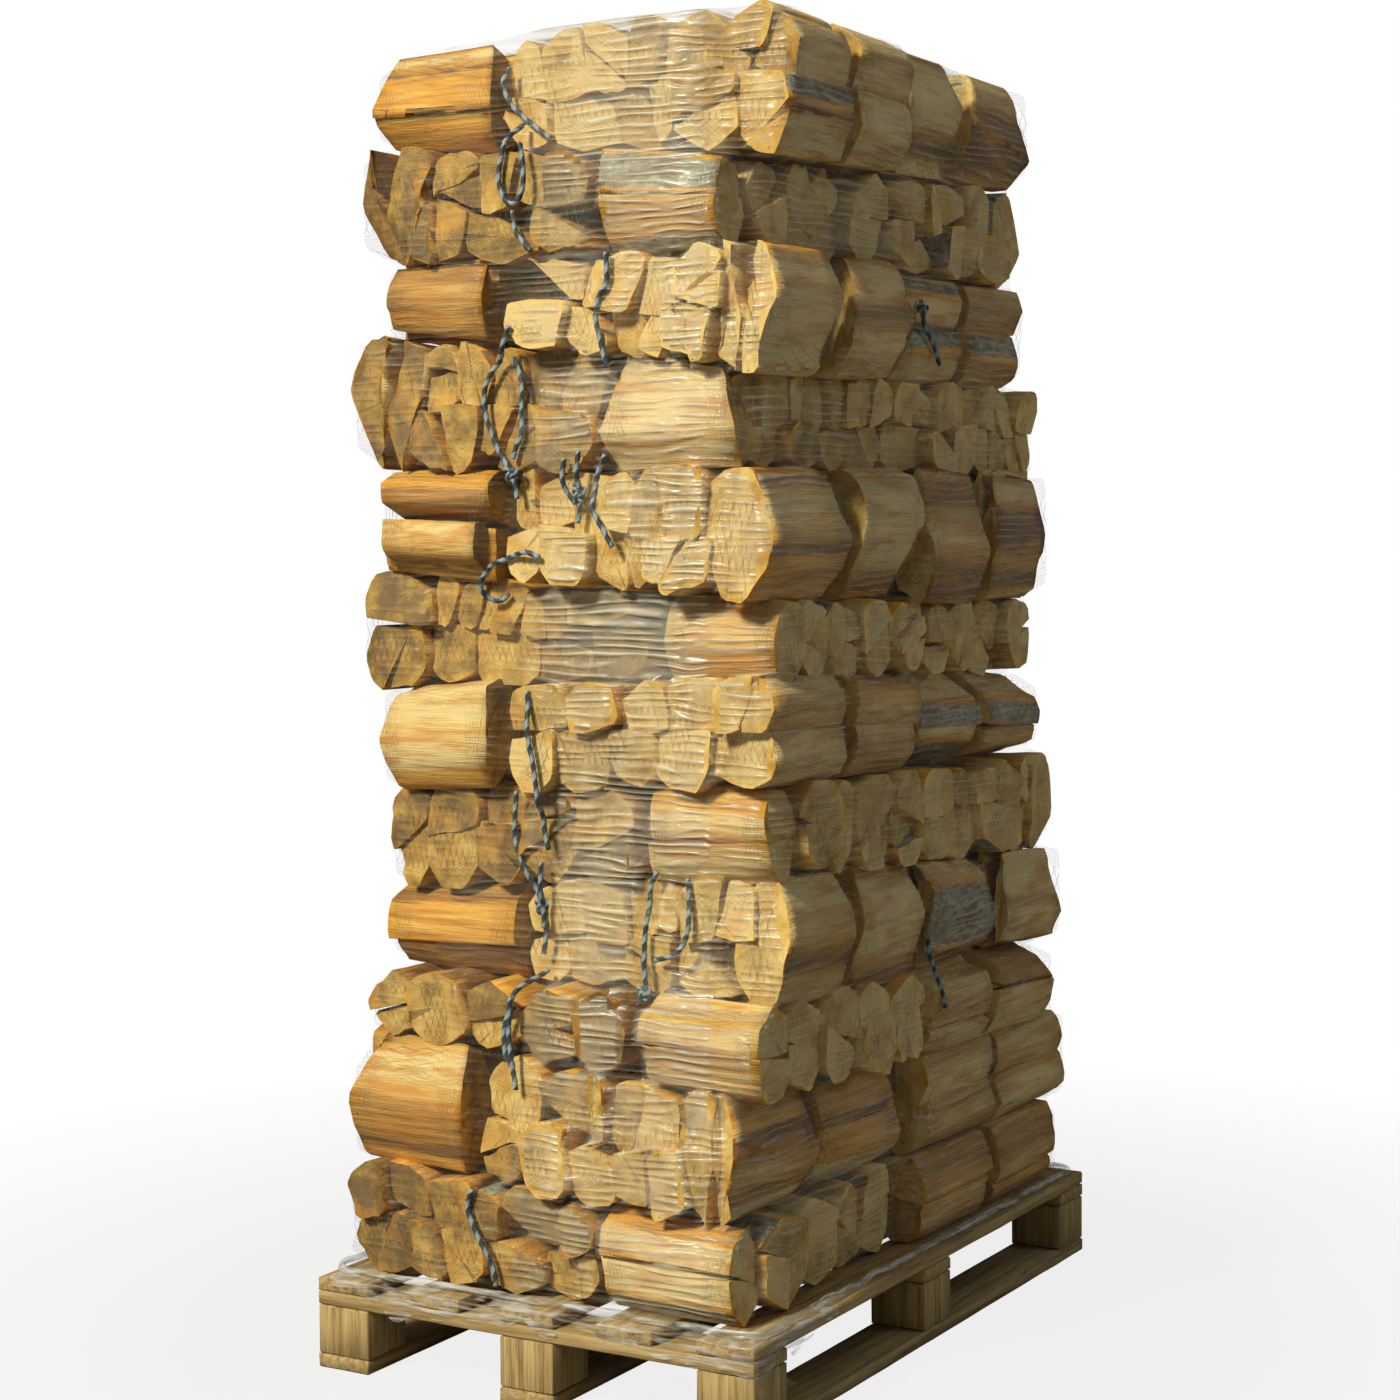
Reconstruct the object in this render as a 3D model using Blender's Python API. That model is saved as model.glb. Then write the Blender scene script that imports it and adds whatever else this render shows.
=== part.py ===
"""A shipping pallet stacked with netted bags of split firewood and wound in stretch film.

Metres, +Z up. X is the pallet's short side and Y its long side. The origin is at the
bottom centre. The stack has twelve layers of four bundles, one at each corner. In a
layer, a bundle with its logs along X lies beside one with its logs along Y, and the
next layer swaps them, so that the stack is bonded like brickwork.
"""

import math
import random

import bpy
from mathutils import Vector

PALLET_WIDTH = 0.800
PALLET_LENGTH = 1.200
BOARD_THICK = 0.022
BOARD_WIDTH = 0.100
BLOCK_SIDE = 0.100
BLOCK_HEIGHT = 0.078
DECK_BOARDS = 5
BLOCKS_PER_SKID = 3
STRINGERS = 3
SKID_CHAMFER = 0.012
GAP = 0.0003  # between pieces that touch

SKID_TOP = BOARD_THICK + BLOCK_HEIGHT
STRINGER_TOP = SKID_TOP + BOARD_THICK
DECK_TOP = STRINGER_TOP + BOARD_THICK

# Height of each layer at the stack's four corners, from the deck up: the bags settle unevenly
FRONT_LEFT = (0.185, 0.195, 0.105, 0.120, 0.165, 0.160, 0.190, 0.160, 0.215, 0.105, 0.200, 0.150)
FRONT_RIGHT = (0.145, 0.190, 0.140, 0.190, 0.135, 0.165, 0.110, 0.195, 0.145, 0.190, 0.125, 0.245)
BACK_RIGHT = (0.135, 0.160, 0.140, 0.165, 0.165, 0.150, 0.135, 0.220, 0.155, 0.185, 0.170, 0.185)
BACK_LEFT = (0.165, 0.170, 0.125, 0.135, 0.165, 0.160, 0.165, 0.175, 0.180, 0.130, 0.180, 0.170)
LAYERS = len(FRONT_LEFT)
CORNER_X = 0.370
CORNER_Y = 0.550

# How far each layer reaches from the middle of the pallet, from the deck up
LEFT_REACH = (0.383, 0.391, 0.355, 0.352, 0.348, 0.344, 0.388, 0.350, 0.385, 0.343, 0.361, 0.385)
FRONT_REACH = (0.562, 0.565, 0.545, 0.485, 0.500, 0.530, 0.490, 0.530, 0.520, 0.525, 0.520, 0.470)
BACK_REACH = (0.575, 0.575, 0.505, 0.547, 0.536, 0.500, 0.490, 0.510, 0.570, 0.490, 0.520, 0.490)
RIGHT_REACH = {
    "front": (0.354, 0.349, 0.397, 0.397, 0.397, 0.396, 0.397, 0.397, 0.338, 0.395, 0.328, 0.396),
    "back": (0.380, 0.380, 0.397, 0.397, 0.397, 0.374, 0.356, 0.397, 0.345, 0.345, 0.351, 0.359),
}
SWAPPED_AT_BACK = {0, 2}  # layers whose back half is laid the other way round from its front half

LOG_LENGTH = 0.258
LOG_WIDTH = 0.106
LEAST_TWO_DEEP = 0.155  # a layer at least this high holds two logs, one on the other
SHARP_SHARE = 0.55  # of the logs that have an edge uppermost or lowermost, and not a flat side
SIDE_INSET = 0.13  # how far a bundle's side logs are rounded back, as a part of a log's width
LOG_SKEW = 0.006  # how far a log strays sideways from end to end
MOST_SHORT = 0.030  # how much further in a log may end than the bundle's longest
MIDDLE_Y = -0.008  # where the front and back bundles meet
SPLIT_GAP = 0.004  # between two bundles of a layer
NOTCH_HALF = 0.016  # the dip where two bags meet end to end
NOTCH_DEPTH = 0.022

FILM_ROPE_RADIUS = 0.007
FILM_ROPE_SIDES = 5
FILM_CLEAR = 0.0025  # between the film's rope and the furthest log of the lowest layer
FILM_CORNER = 0.030
FILM_CORNER_STEPS = 3

SKID_COLOUR = (0.28, 0.18, 0.07)
STRINGER_COLOUR = (0.30, 0.20, 0.08)
DECK_COLOUR = (0.36, 0.25, 0.11)
FIREWOOD_COLOUR = (0.52, 0.34, 0.12)
FILM_COLOUR = (0.70, 0.71, 0.68)


def clear_scene():
    for old in list(bpy.data.objects):
        bpy.data.objects.remove(old, do_unlink=True)


def material(name, colour, roughness, alpha=1.0):
    """A plain Principled material with no metal in it."""
    made = bpy.data.materials.new(name)
    made.use_nodes = True
    shader = made.node_tree.nodes["Principled BSDF"]
    shader.inputs["Base Color"].default_value = (*colour, 1.0)
    shader.inputs["Roughness"].default_value = roughness
    shader.inputs["Metallic"].default_value = 0.0
    shader.inputs["Alpha"].default_value = alpha
    return made


def new_object(name, points, faces, finish=None):
    """An object in the scene from its points and faces."""
    mesh = bpy.data.meshes.new(name)
    mesh.from_pydata([tuple(point) for point in points], [], faces)
    mesh.update()
    if finish is not None:
        mesh.materials.append(finish)
    made = bpy.data.objects.new(name, mesh)
    bpy.context.scene.collection.objects.link(made)
    return made


def prism_faces(sides):
    """Faces of a prism whose points are its near outline and then its far one."""
    around = [(i, (i + 1) % sides, sides + (i + 1) % sides, sides + i) for i in range(sides)]
    return [tuple(reversed(range(sides))), tuple(range(sides, 2 * sides)), *around]


def box_object(name, low, high, finish=None):
    (x0, y0, z0), (x1, y1, z1) = low, high
    outline = ((x0, y0), (x1, y0), (x1, y1), (x0, y1))
    points = [(x, y, z0) for x, y in outline] + [(x, y, z1) for x, y in outline]
    return new_object(name, points, prism_faces(4), finish)


def fuse(name, pieces, finish):
    """One closed body from overlapping pieces, which it uses up."""
    base, others = pieces[0], pieces[1:]
    group = bpy.data.collections.new(name + "_pieces")
    for piece in others:
        bpy.context.scene.collection.objects.unlink(piece)
        group.objects.link(piece)
    bpy.context.scene.collection.children.link(group)
    join = base.modifiers.new("Join", "BOOLEAN")
    join.operation = "UNION"
    join.solver = "EXACT"
    join.operand_type = "COLLECTION"
    join.collection = group
    bpy.context.view_layer.update()
    graph = bpy.context.evaluated_depsgraph_get()
    mesh = bpy.data.meshes.new_from_object(base.evaluated_get(graph))
    mesh.name = name
    for piece in pieces:
        bpy.data.objects.remove(piece, do_unlink=True)
    bpy.data.collections.remove(group)
    mesh.materials.clear()
    mesh.materials.append(finish)
    made = bpy.data.objects.new(name, mesh)
    bpy.context.scene.collection.objects.link(made)
    return made


def spread(count, width, total):
    """Centres of evenly spread pieces whose outer ones end flush with the total."""
    step = (total - width) / (count - 1)
    return [(width - total) / 2 + i * step for i in range(count)]


def make_skid(name, x, finish):
    """A bottom board with chamfered ends and the blocks nailed on it."""
    half = PALLET_LENGTH / 2
    low, high = x - BOARD_WIDTH / 2, x + BOARD_WIDTH / 2
    side = (
        (-half + SKID_CHAMFER, 0),
        (half - SKID_CHAMFER, 0),
        (half, SKID_CHAMFER),
        (half, BOARD_THICK),
        (-half, BOARD_THICK),
        (-half, SKID_CHAMFER),
    )
    points = [(high, y, z) for y, z in side] + [(low, y, z) for y, z in side]
    pieces = [new_object(name + "_board", points, prism_faces(len(side)))]
    for block, y in enumerate(spread(BLOCKS_PER_SKID, BLOCK_SIDE, PALLET_LENGTH)):
        inset = 0.0004 + 0.0002 * block  # keeps the block's faces off the board's
        reach = BLOCK_SIDE / 2 - inset
        corner = (x - reach, y - reach, BOARD_THICK / 2)
        pieces.append(box_object(f"{name}_block_{block}", corner, (x + reach, y + reach, SKID_TOP)))
    return fuse(name, pieces, finish)


def make_pallet():
    names = ("left", "middle", "right")
    for name, x in zip(names, spread(len(names), BOARD_WIDTH, PALLET_WIDTH)):
        make_skid(f"skid_{name}", x, material(f"skid_{name}_wood", SKID_COLOUR, 0.80))
    half_width, half_length = PALLET_WIDTH / 2, PALLET_LENGTH / 2
    names = ("front", "middle", "back")
    for name, y in zip(names, spread(STRINGERS, BOARD_WIDTH, PALLET_LENGTH)):
        box_object(
            f"stringer_{name}",
            (-half_width, y - BOARD_WIDTH / 2, SKID_TOP + GAP),
            (half_width, y + BOARD_WIDTH / 2, STRINGER_TOP),
            material(f"stringer_{name}_wood", STRINGER_COLOUR, 0.80),
        )
    for number, x in enumerate(spread(DECK_BOARDS, BOARD_WIDTH, PALLET_WIDTH), 1):
        box_object(
            f"deck_board_{number}",
            (x - BOARD_WIDTH / 2, -half_length, STRINGER_TOP + GAP),
            (x + BOARD_WIDTH / 2, half_length, DECK_TOP),
            material(f"deck_board_{number}_wood", DECK_COLOUR, 0.80),
        )


def corner_heights(layer):
    """Heights of the surface under a layer at the front left, front right, back left and back right."""
    corners = (FRONT_LEFT, FRONT_RIGHT, BACK_LEFT, BACK_RIGHT)
    return [DECK_TOP + GAP + sum(heights[:layer]) for heights in corners]


def surface(layer, x, y):
    """Height at x, y of the surface that a layer lies on."""
    front_left, front_right, back_left, back_right = corner_heights(layer)
    u = (x + CORNER_X) / (2 * CORNER_X)
    v = (y + CORNER_Y) / (2 * CORNER_Y)
    front = front_left + (front_right - front_left) * u
    back = back_left + (back_right - back_left) * u
    return front + (back - front) * v


def slack(layer):
    """Room that a straight-sided log needs to stay clear of the layer's slightly twisted surface."""
    front_left, front_right, back_left, back_right = corner_heights(layer)
    twist = abs(front_left - front_right - back_left + back_right)
    cell = LOG_WIDTH * 2 * LOG_LENGTH / (4 * CORNER_X * CORNER_Y)
    return GAP / 2 + 0.5 * twist * cell


def cell_point(bundle, along, across, rise):
    """The point at a place along and across the bundle, and from 0 to 1 up the layer."""
    x, y = (along, across) if bundle["axis"] == "X" else (across, along)
    layer = bundle["layer"]
    low = surface(layer, x, y) + slack(layer)
    high = surface(layer + 1, x, y) - slack(layer + 1)
    return Vector((x, y, low + rise * (high - low)))


def split_evenly(rng, start, end, count, vary):
    """Edges of columns of uneven width between start and end."""
    weights = [1 + rng.uniform(-vary, vary) for _ in range(count)]
    edges = [start]
    for weight in weights:
        edges.append(edges[-1] + weight * (end - start) / sum(weights))
    return edges


def crest(rng, low, high, rise):
    """One or two points of a log's lowest or highest side, on a line at this rise."""
    width = high - low
    if rng.random() < SHARP_SHARE:
        return [(low + rng.uniform(0.38, 0.62) * width, rise)]
    return [
        (low + rng.uniform(0.16, 0.30) * width, rise),
        (high - rng.uniform(0.16, 0.30) * width, rise),
    ]


def one_deep(rng, edges):
    """Sections of logs side by side, as points across the bundle and up the layer."""
    feet = [(edge, rng.uniform(0.12, 0.28)) for edge in edges]
    heads = [(edge, 1 - rng.uniform(0.12, 0.28)) for edge in edges]
    inset = SIDE_INSET * (edges[1] - edges[0])
    for row in (feet, heads):
        row[0] = (row[0][0] + inset, row[0][1])
        row[-1] = (row[-1][0] - inset, row[-1][1])
    sides = [(edges[0], rng.uniform(0.42, 0.58)), (edges[-1], rng.uniform(0.42, 0.58))]
    cells = []
    for i in range(len(edges) - 1):
        under = crest(rng, feet[i][0], feet[i + 1][0], 0.0)
        over = crest(rng, heads[i][0], heads[i + 1][0], 1.0)
        right = sides[1:] if i == len(edges) - 2 else []
        left = sides[:1] if i == 0 else []
        cells.append([feet[i], *under, feet[i + 1], *right, heads[i + 1], *over[::-1], heads[i], *left])
    return cells


def two_deep(rng, edges):
    """The same for logs two deep, the upper ones lying over the joints of the lower ones."""
    column = (edges[-1] - edges[0]) / (len(edges) - 1)
    moves = [rng.choice((-1, 1)) * rng.uniform(0.16, 0.30) * column for _ in edges]
    upper = [edges[0], *(edge + move for edge, move in zip(edges[1:-1], moves)), edges[-1]]
    inset = SIDE_INSET * column
    ends = [(edges[0] + inset, rng.uniform(0.46, 0.54)), (edges[-1] - inset, rng.uniform(0.46, 0.54))]
    joints = sorted([(edge, rng.uniform(0.42, 0.58)) for edge in edges[1:-1] + upper[1:-1]])
    seam = [ends[0], *joints, ends[1]]
    cells = []
    for level, places in enumerate((edges, upper)):
        rise = float(level)
        valley = [(place, abs(rise - rng.uniform(0.07, 0.15))) for place in places]
        valley[0] = (places[0] + inset, valley[0][1])
        valley[-1] = (places[-1] - inset, valley[-1][1])
        sides = [(places[0], 0.25 + 0.5 * level), (places[-1], 0.25 + 0.5 * level)]
        for i in range(len(places) - 1):
            low = places[i] if i else ends[0][0]
            high = places[i + 1] if i < len(places) - 2 else ends[1][0]
            shared = [point for point in seam if low <= point[0] <= high]
            outer = crest(rng, valley[i][0], valley[i + 1][0], rise)
            right = sides[1:] if i == len(places) - 2 else []
            left = sides[:1] if i == 0 else []
            if level == 0:
                cells.append([valley[i], *outer, valley[i + 1], *right, *shared[::-1], *left])
            else:
                cells.append([*shared, *right, valley[i + 1], *outer[::-1], valley[i], *left])
    return cells


def zip_lines(near, far):
    """Triangles between two lines of (place, vertex) along the bundle."""
    faces = []
    i = j = 0
    while i < len(near) - 1 or j < len(far) - 1:
        far_next = far[j + 1][0] if j < len(far) - 1 else math.inf
        near_next = near[i + 1][0] if i < len(near) - 1 else math.inf
        if far_next <= near_next:
            faces.append((near[i][1], far[j][1], far[j + 1][1]))
            j += 1
        else:
            faces.append((near[i][1], far[j][1], near[i + 1][1]))
            i += 1
    return faces


def log_spans(rng, bundle, count):
    """Where each log starts and ends along the bundle: no two of them level."""
    low, high = bundle["along"]
    step = MOST_SHORT / count
    starts = [low + (i + rng.uniform(0, 0.5)) * step for i in range(count)]
    stops = [high - (i + rng.uniform(0, 0.5)) * step for i in range(count)]
    rng.shuffle(starts)
    rng.shuffle(stops)
    return list(zip(starts, stops))


def joined_logs(rng, bundle, cells):
    """Points and faces of one closed body: the cells' sections, drawn out to each log's own ends."""
    low, high = bundle["along"]
    spans = log_spans(rng, bundle, len(cells))
    corners = sorted({corner for cell in cells for corner in cell})
    drift = {corner: [rng.uniform(-LOG_SKEW, LOG_SKEW) for _ in range(2)] for corner in corners}
    places = {corner: set() for corner in corners}
    for cell, span in zip(cells, spans):
        for corner in cell:
            places[corner].update(span)
    middle = (low + high) / 2
    outward = 1 if bundle["side"] == "right" else -1
    notched = set()
    if bundle["bags"] == 2:
        outside = max(outward * edge for edge in bundle["across"])
        deepest = outside - 1.5 * SIDE_INSET * LOG_WIDTH
        notched = {corner for corner in corners if outward * corner[0] > deepest}
    for corner in notched:
        places[corner].update((middle - NOTCH_HALF, middle, middle + NOTCH_HALF))

    points, numbers = [], {}

    def number(corner, place):
        if (corner, place) not in numbers:
            part = (place - low) / (high - low)
            across = corner[0] + drift[corner][0] * (1 - part) + drift[corner][1] * part
            if corner in notched and place == middle:
                across -= outward * NOTCH_DEPTH
            across = min(max(across, bundle["across"][0]), bundle["across"][1])
            numbers[corner, place] = len(points)
            points.append(cell_point(bundle, place, across, corner[1]))
        return numbers[corner, place]

    def line(corner, start, stop):
        return [(place, number(corner, place)) for place in sorted(places[corner]) if start <= place <= stop]

    owner = {}
    for cell, span in zip(cells, spans):
        for corner, beside in zip(cell, cell[1:] + cell[:1]):
            owner[corner, beside] = span
    faces = []
    for cell, (start, stop) in zip(cells, spans):
        faces.append([number(corner, start) for corner in reversed(cell)])
        faces.append([number(corner, stop) for corner in cell])
        for corner, beside in zip(cell, cell[1:] + cell[:1]):
            other = owner.get((beside, corner))
            if other is None:
                ranges = [(start, stop)]
            else:
                ranges = [(start, other[0]), (other[1], stop)]
            for first, last in ranges:
                if first < last:
                    faces += zip_lines(line(corner, first, last), line(beside, first, last))
    return points, faces


def make_bundle(bundle):
    """The logs of one bag, or of two bags end to end, as one body."""
    rng = random.Random(bundle["seed"])
    middle = [sum(bundle[direction]) / 2 for direction in ("along", "across")]
    height = cell_point(bundle, *middle, 1.0).z - cell_point(bundle, *middle, 0.0).z
    low, high = bundle["across"]
    columns = round((high - low) / LOG_WIDTH)
    edges = split_evenly(rng, low, high, columns, 0.22)
    cells = two_deep(rng, edges) if height >= LEAST_TWO_DEEP else one_deep(rng, edges)
    points, faces = joined_logs(rng, bundle, cells)
    if bundle["axis"] == "Y":
        faces = [tuple(reversed(face)) for face in faces]
    shade = rng.uniform(0.85, 1.08)
    colour = tuple(shade * channel for channel in FIREWOOD_COLOUR)
    return new_object(bundle["name"], points, faces, material(bundle["name"] + "_wood", colour, 0.75))


def layer_bundles(layer):
    """The four bundles of a layer, as the ranges that their logs fill."""
    left = -LEFT_REACH[layer]
    bundles = []
    for end in ("front", "back"):
        right = RIGHT_REACH[end][layer]
        right_along_x = layer % 2 == 0
        if end == "back" and layer in SWAPPED_AT_BACK:
            right_along_x = not right_along_x
        split = right - LOG_LENGTH if right_along_x else left + LOG_LENGTH
        if end == "front":
            y_range = (-FRONT_REACH[layer], MIDDLE_Y - SPLIT_GAP / 2)
        else:
            y_range = (MIDDLE_Y + SPLIT_GAP / 2, BACK_REACH[layer])
        x_ranges = {
            "left": (left, split - SPLIT_GAP / 2),
            "right": (split + SPLIT_GAP / 2, right),
        }
        for side, x_range in x_ranges.items():
            along_x = right_along_x == (side == "right")
            bundles.append(
                {
                    "name": f"bag_{layer + 1:02d}_{end}_{side}",
                    "layer": layer,
                    "axis": "X" if along_x else "Y",
                    "along": x_range if along_x else y_range,
                    "across": y_range if along_x else x_range,
                    "bags": 1 if along_x else 2,
                    "side": side,
                    "seed": 40 * layer + 10 * int(end == "back") + int(side == "right"),
                }
            )
    return bundles


def make_film_foot():
    """The gathered bottom edge of the stretch film, a rope round the foot of the stack."""
    right_most = max(RIGHT_REACH["front"][0], RIGHT_REACH["back"][0])
    reaches = (LEFT_REACH[0], right_most, FRONT_REACH[0], BACK_REACH[0])
    left, right, front, back = (reach + FILM_ROPE_RADIUS + FILM_CLEAR for reach in reaches)
    turns = []
    for x, y, quarter in ((right, back, 0), (-left, back, 1), (-left, -front, 2), (right, -front, 3)):
        centre_x = x - math.copysign(FILM_CORNER, x)
        centre_y = y - math.copysign(FILM_CORNER, y)
        for step in range(FILM_CORNER_STEPS + 1):
            angle = (quarter + step / FILM_CORNER_STEPS) * math.pi / 2
            turns.append((centre_x, centre_y, angle))
    sides = FILM_ROPE_SIDES
    points = []
    for centre_x, centre_y, angle in turns:
        for side in range(sides):
            around = (side + 0.5) * 2 * math.pi / sides
            reach = FILM_CORNER + FILM_ROPE_RADIUS * math.cos(around)
            height = DECK_TOP + GAP + FILM_ROPE_RADIUS * (1 + math.sin(around))
            points.append((centre_x + reach * math.cos(angle), centre_y + reach * math.sin(angle), height))
    faces = []
    for ring in range(len(turns)):
        here, after = ring * sides, (ring + 1) % len(turns) * sides
        for side in range(sides):
            beside = (side + 1) % sides
            faces.append((here + side, after + side, after + beside, here + beside))
    finish = material("film_foot_clear", FILM_COLOUR, 0.25, 0.6)
    return new_object("film_foot", points, faces, finish)


clear_scene()
make_pallet()
for each_layer in range(LAYERS):
    for each_bundle in layer_bundles(each_layer):
        make_bundle(each_bundle)
make_film_foot()
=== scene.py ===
# A pallet of split firewood in net bags, wound in stretch film.
# Metres, +Z up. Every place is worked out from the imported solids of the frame.

import math

import bpy
import numpy as np
from mathutils import Matrix, Vector
from mathutils.bvhtree import BVHTree
from mathutils.kdtree import KDTree


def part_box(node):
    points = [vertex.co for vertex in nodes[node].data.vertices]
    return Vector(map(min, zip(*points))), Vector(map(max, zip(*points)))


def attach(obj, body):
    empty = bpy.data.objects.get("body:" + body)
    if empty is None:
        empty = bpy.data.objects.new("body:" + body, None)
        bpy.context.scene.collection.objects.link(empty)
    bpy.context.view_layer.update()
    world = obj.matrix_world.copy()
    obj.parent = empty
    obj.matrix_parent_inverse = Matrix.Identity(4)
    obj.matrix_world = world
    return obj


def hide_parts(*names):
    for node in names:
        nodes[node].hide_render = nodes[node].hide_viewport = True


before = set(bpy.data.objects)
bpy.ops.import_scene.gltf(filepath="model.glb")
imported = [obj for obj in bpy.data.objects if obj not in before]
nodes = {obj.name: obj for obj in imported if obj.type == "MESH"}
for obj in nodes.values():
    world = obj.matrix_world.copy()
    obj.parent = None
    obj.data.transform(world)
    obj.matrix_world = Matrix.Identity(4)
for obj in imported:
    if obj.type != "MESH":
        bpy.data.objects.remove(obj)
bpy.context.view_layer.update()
bagNodes = sorted(name for name in nodes if name.startswith("bag_"))
mm = 0.001
print("frame loaded:", len(nodes), "nodes")

view = {
    "place": (2.3516, -3.9590, 1.3499),
    "yaw": 29.49,  # degrees, as the next two are
    "pitch": -1.0,
    "roll": -0.4,
    "lens": 69.69,
    "shift": (-0.0571, -0.1000),
}


def addCamera():
    data = bpy.data.cameras.new("view")
    data.sensor_width = 36
    data.lens = view["lens"]
    data.shift_x, data.shift_y = view["shift"]
    data.clip_end = 60
    yaw, pitch, roll = (math.radians(view[name]) for name in ("yaw", "pitch", "roll"))
    made = bpy.data.objects.new("view", data)
    made.matrix_world = Matrix.Translation(view["place"])
    for angle, axis in ((yaw, "Z"), (math.pi / 2 + pitch, "X"), (roll, "Z")):
        made.matrix_world = made.matrix_world @ Matrix.Rotation(angle, 4, axis)
    bpy.context.scene.collection.objects.link(made)
    bpy.context.scene.camera = made


addCamera()

lamps = {
    "key": {"place": (-3.7, -16.0, 14.0), "size": 3.3, "watts": 5550, "colour": (1.0, 0.945, 0.82)},
    "fill": {"place": (5.0, 2.0, 3.2), "size": 1.6, "watts": 26, "colour": (0.86, 0.93, 1.0)},
}


def addLamps():
    middle = Vector((0, 0, 1.0))
    for name, lamp in lamps.items():
        data = bpy.data.lights.new(name, "AREA")
        data.size = lamp["size"]
        data.energy = lamp["watts"]
        data.color = lamp["colour"]
        made = bpy.data.objects.new(name, data)
        place = Vector(lamp["place"])
        made.location = place
        made.rotation_euler = (middle - place).to_track_quat("-Z", "Y").to_euler()
        bpy.context.scene.collection.objects.link(made)


addLamps()


# The faces of a grid of points, row by row, closed round its columns and if told so round its rows
def gridFaces(rows, columns, columnsRound=True, rowsRound=False):
    faces = []
    for r in range(rows if rowsRound else rows - 1):
        here, after = r * columns, (r + 1) % rows * columns
        for c in range(columns if columnsRound else columns - 1):
            beside = (c + 1) % columns
            faces.append((here + c, here + beside, after + beside, after + c))
    return faces


# Several meshes' points and faces as those of one
def joined(meshes):
    faces, base = [], 0
    for points, meshFaces in meshes:
        faces += [tuple(base + i for i in face) for face in meshFaces]
        base += len(points)
    return np.concatenate([points for points, _ in meshes]).tolist(), faces


# Each value eased towards its two neighbours: along a line or down a table, or round a ring
def eased(values):
    padded = np.concatenate([values[:1], values, values[-1:]])
    return 0.25 * padded[:-2] + 0.5 * padded[1:-1] + 0.25 * padded[2:]


def easedRound(values, axis=0):
    return 0.25 * np.roll(values, 1, axis) + 0.5 * values + 0.25 * np.roll(values, -1, axis)


# A mesh object. A face's kind is the number of its finish, and those of the first one are smooth.
def meshObject(name, points, faces, *finishes, kinds=None):
    mesh = bpy.data.meshes.new(name)
    mesh.from_pydata(np.asarray(points).tolist(), [], faces)
    for finish in finishes:
        mesh.materials.append(finish)
    kinds = kinds or [0] * len(faces)
    mesh.polygons.foreach_set("material_index", kinds)
    mesh.polygons.foreach_set("use_smooth", [kind == 0 for kind in kinds])
    mesh.update()
    made = bpy.data.objects.new(name, mesh)
    bpy.context.scene.collection.objects.link(made)
    return made


# Numbers or vectors for a mesh's points, which its material reads by this name
def giveAttribute(made, name, values):
    values = np.array(values, dtype=np.float32)
    kind, field = ("FLOAT_VECTOR", "vector") if values.ndim == 2 else ("FLOAT", "value")
    made.data.attributes.new(name, kind, "POINT").data.foreach_set(field, values.ravel())


def polygonArea(outline):
    x, y = outline[:, 0], outline[:, 1]
    return 0.5 * float(np.sum(x * np.roll(y, -1) - np.roll(x, -1) * y))


# The outline of each flat end face of a bundle's solid, as points across the bundle and up
def endOutlines(node, axis):
    mesh = nodes[node].data
    groups = {}
    for face in mesh.polygons:
        if abs(face.normal[axis]) < 0.9995:
            continue
        corners = [tuple(round(c, 5) for c in mesh.vertices[i].co) for i in face.vertices]
        key = (face.normal[axis] > 0, round(corners[0][axis], 4))
        groups.setdefault(key, []).append(corners)
    found = {False: [], True: []}
    for (after, place), faces in sorted(groups.items()):
        rim = set()
        for corners in faces:
            for here, there in zip(corners, corners[1:] + corners[:1]):
                if (there, here) in rim:
                    rim.remove((there, here))
                else:
                    rim.add((here, there))
        following = dict(rim)
        loop = [min(following)]
        while following[loop[-1]] != loop[0]:
            loop.append(following[loop[-1]])
        outline = np.array([(point[1 - axis], point[2]) for point in loop])
        if polygonArea(outline) < 0:
            outline = outline[::-1]
        found[after].append((place, outline))
    return found[False], found[True]


# Each log's share of a bundle: its outline at both ends, with the same corners in the same order
def logShares(node, axis):
    starts, stops = endOutlines(node, axis)
    middles = [np.array([outline.mean(axis=0) for _, outline in ends]) for ends in (starts, stops)]
    drift = middles[1].mean(axis=0) - middles[0].mean(axis=0)
    shares = []
    free = set(range(len(stops)))
    for (place, outline), middle in zip(starts, middles[0]):
        same = [i for i in free if len(stops[i][1]) == len(outline)]
        best = min(same, key=lambda i: float(np.linalg.norm(middles[1][i] - drift - middle)))
        free.discard(best)
        lastPlace, last = stops[best]
        moved = last - last.mean(axis=0) + middle
        turns = [float(np.sum((np.roll(moved, -k, axis=0) - outline) ** 2)) for k in range(len(last))]
        last = np.roll(last, -int(np.argmin(turns)), axis=0)
        shares.append({"from": place, "to": lastPlace, "first": outline, "last": last})
    return shares


# The corners that go round all of these points, as their numbers
def roundAll(points):
    chains = []
    for way in (1, -1):
        chain = []
        for i in sorted(range(len(points)), key=lambda i: tuple(points[i]))[::way]:
            while len(chain) > 1:
                here, there = points[chain[-1]] - points[chain[-2]], points[i] - points[chain[-1]]
                if here[0] * there[1] - here[1] * there[0] > 0:
                    break
                chain.pop()
            chain.append(i)
        chains += chain[:-1]
    return chains


sideLogs = {"rowApart": 45 * mm, "left": (2, 5)}  # bags of these numbers in each seven have none


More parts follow.
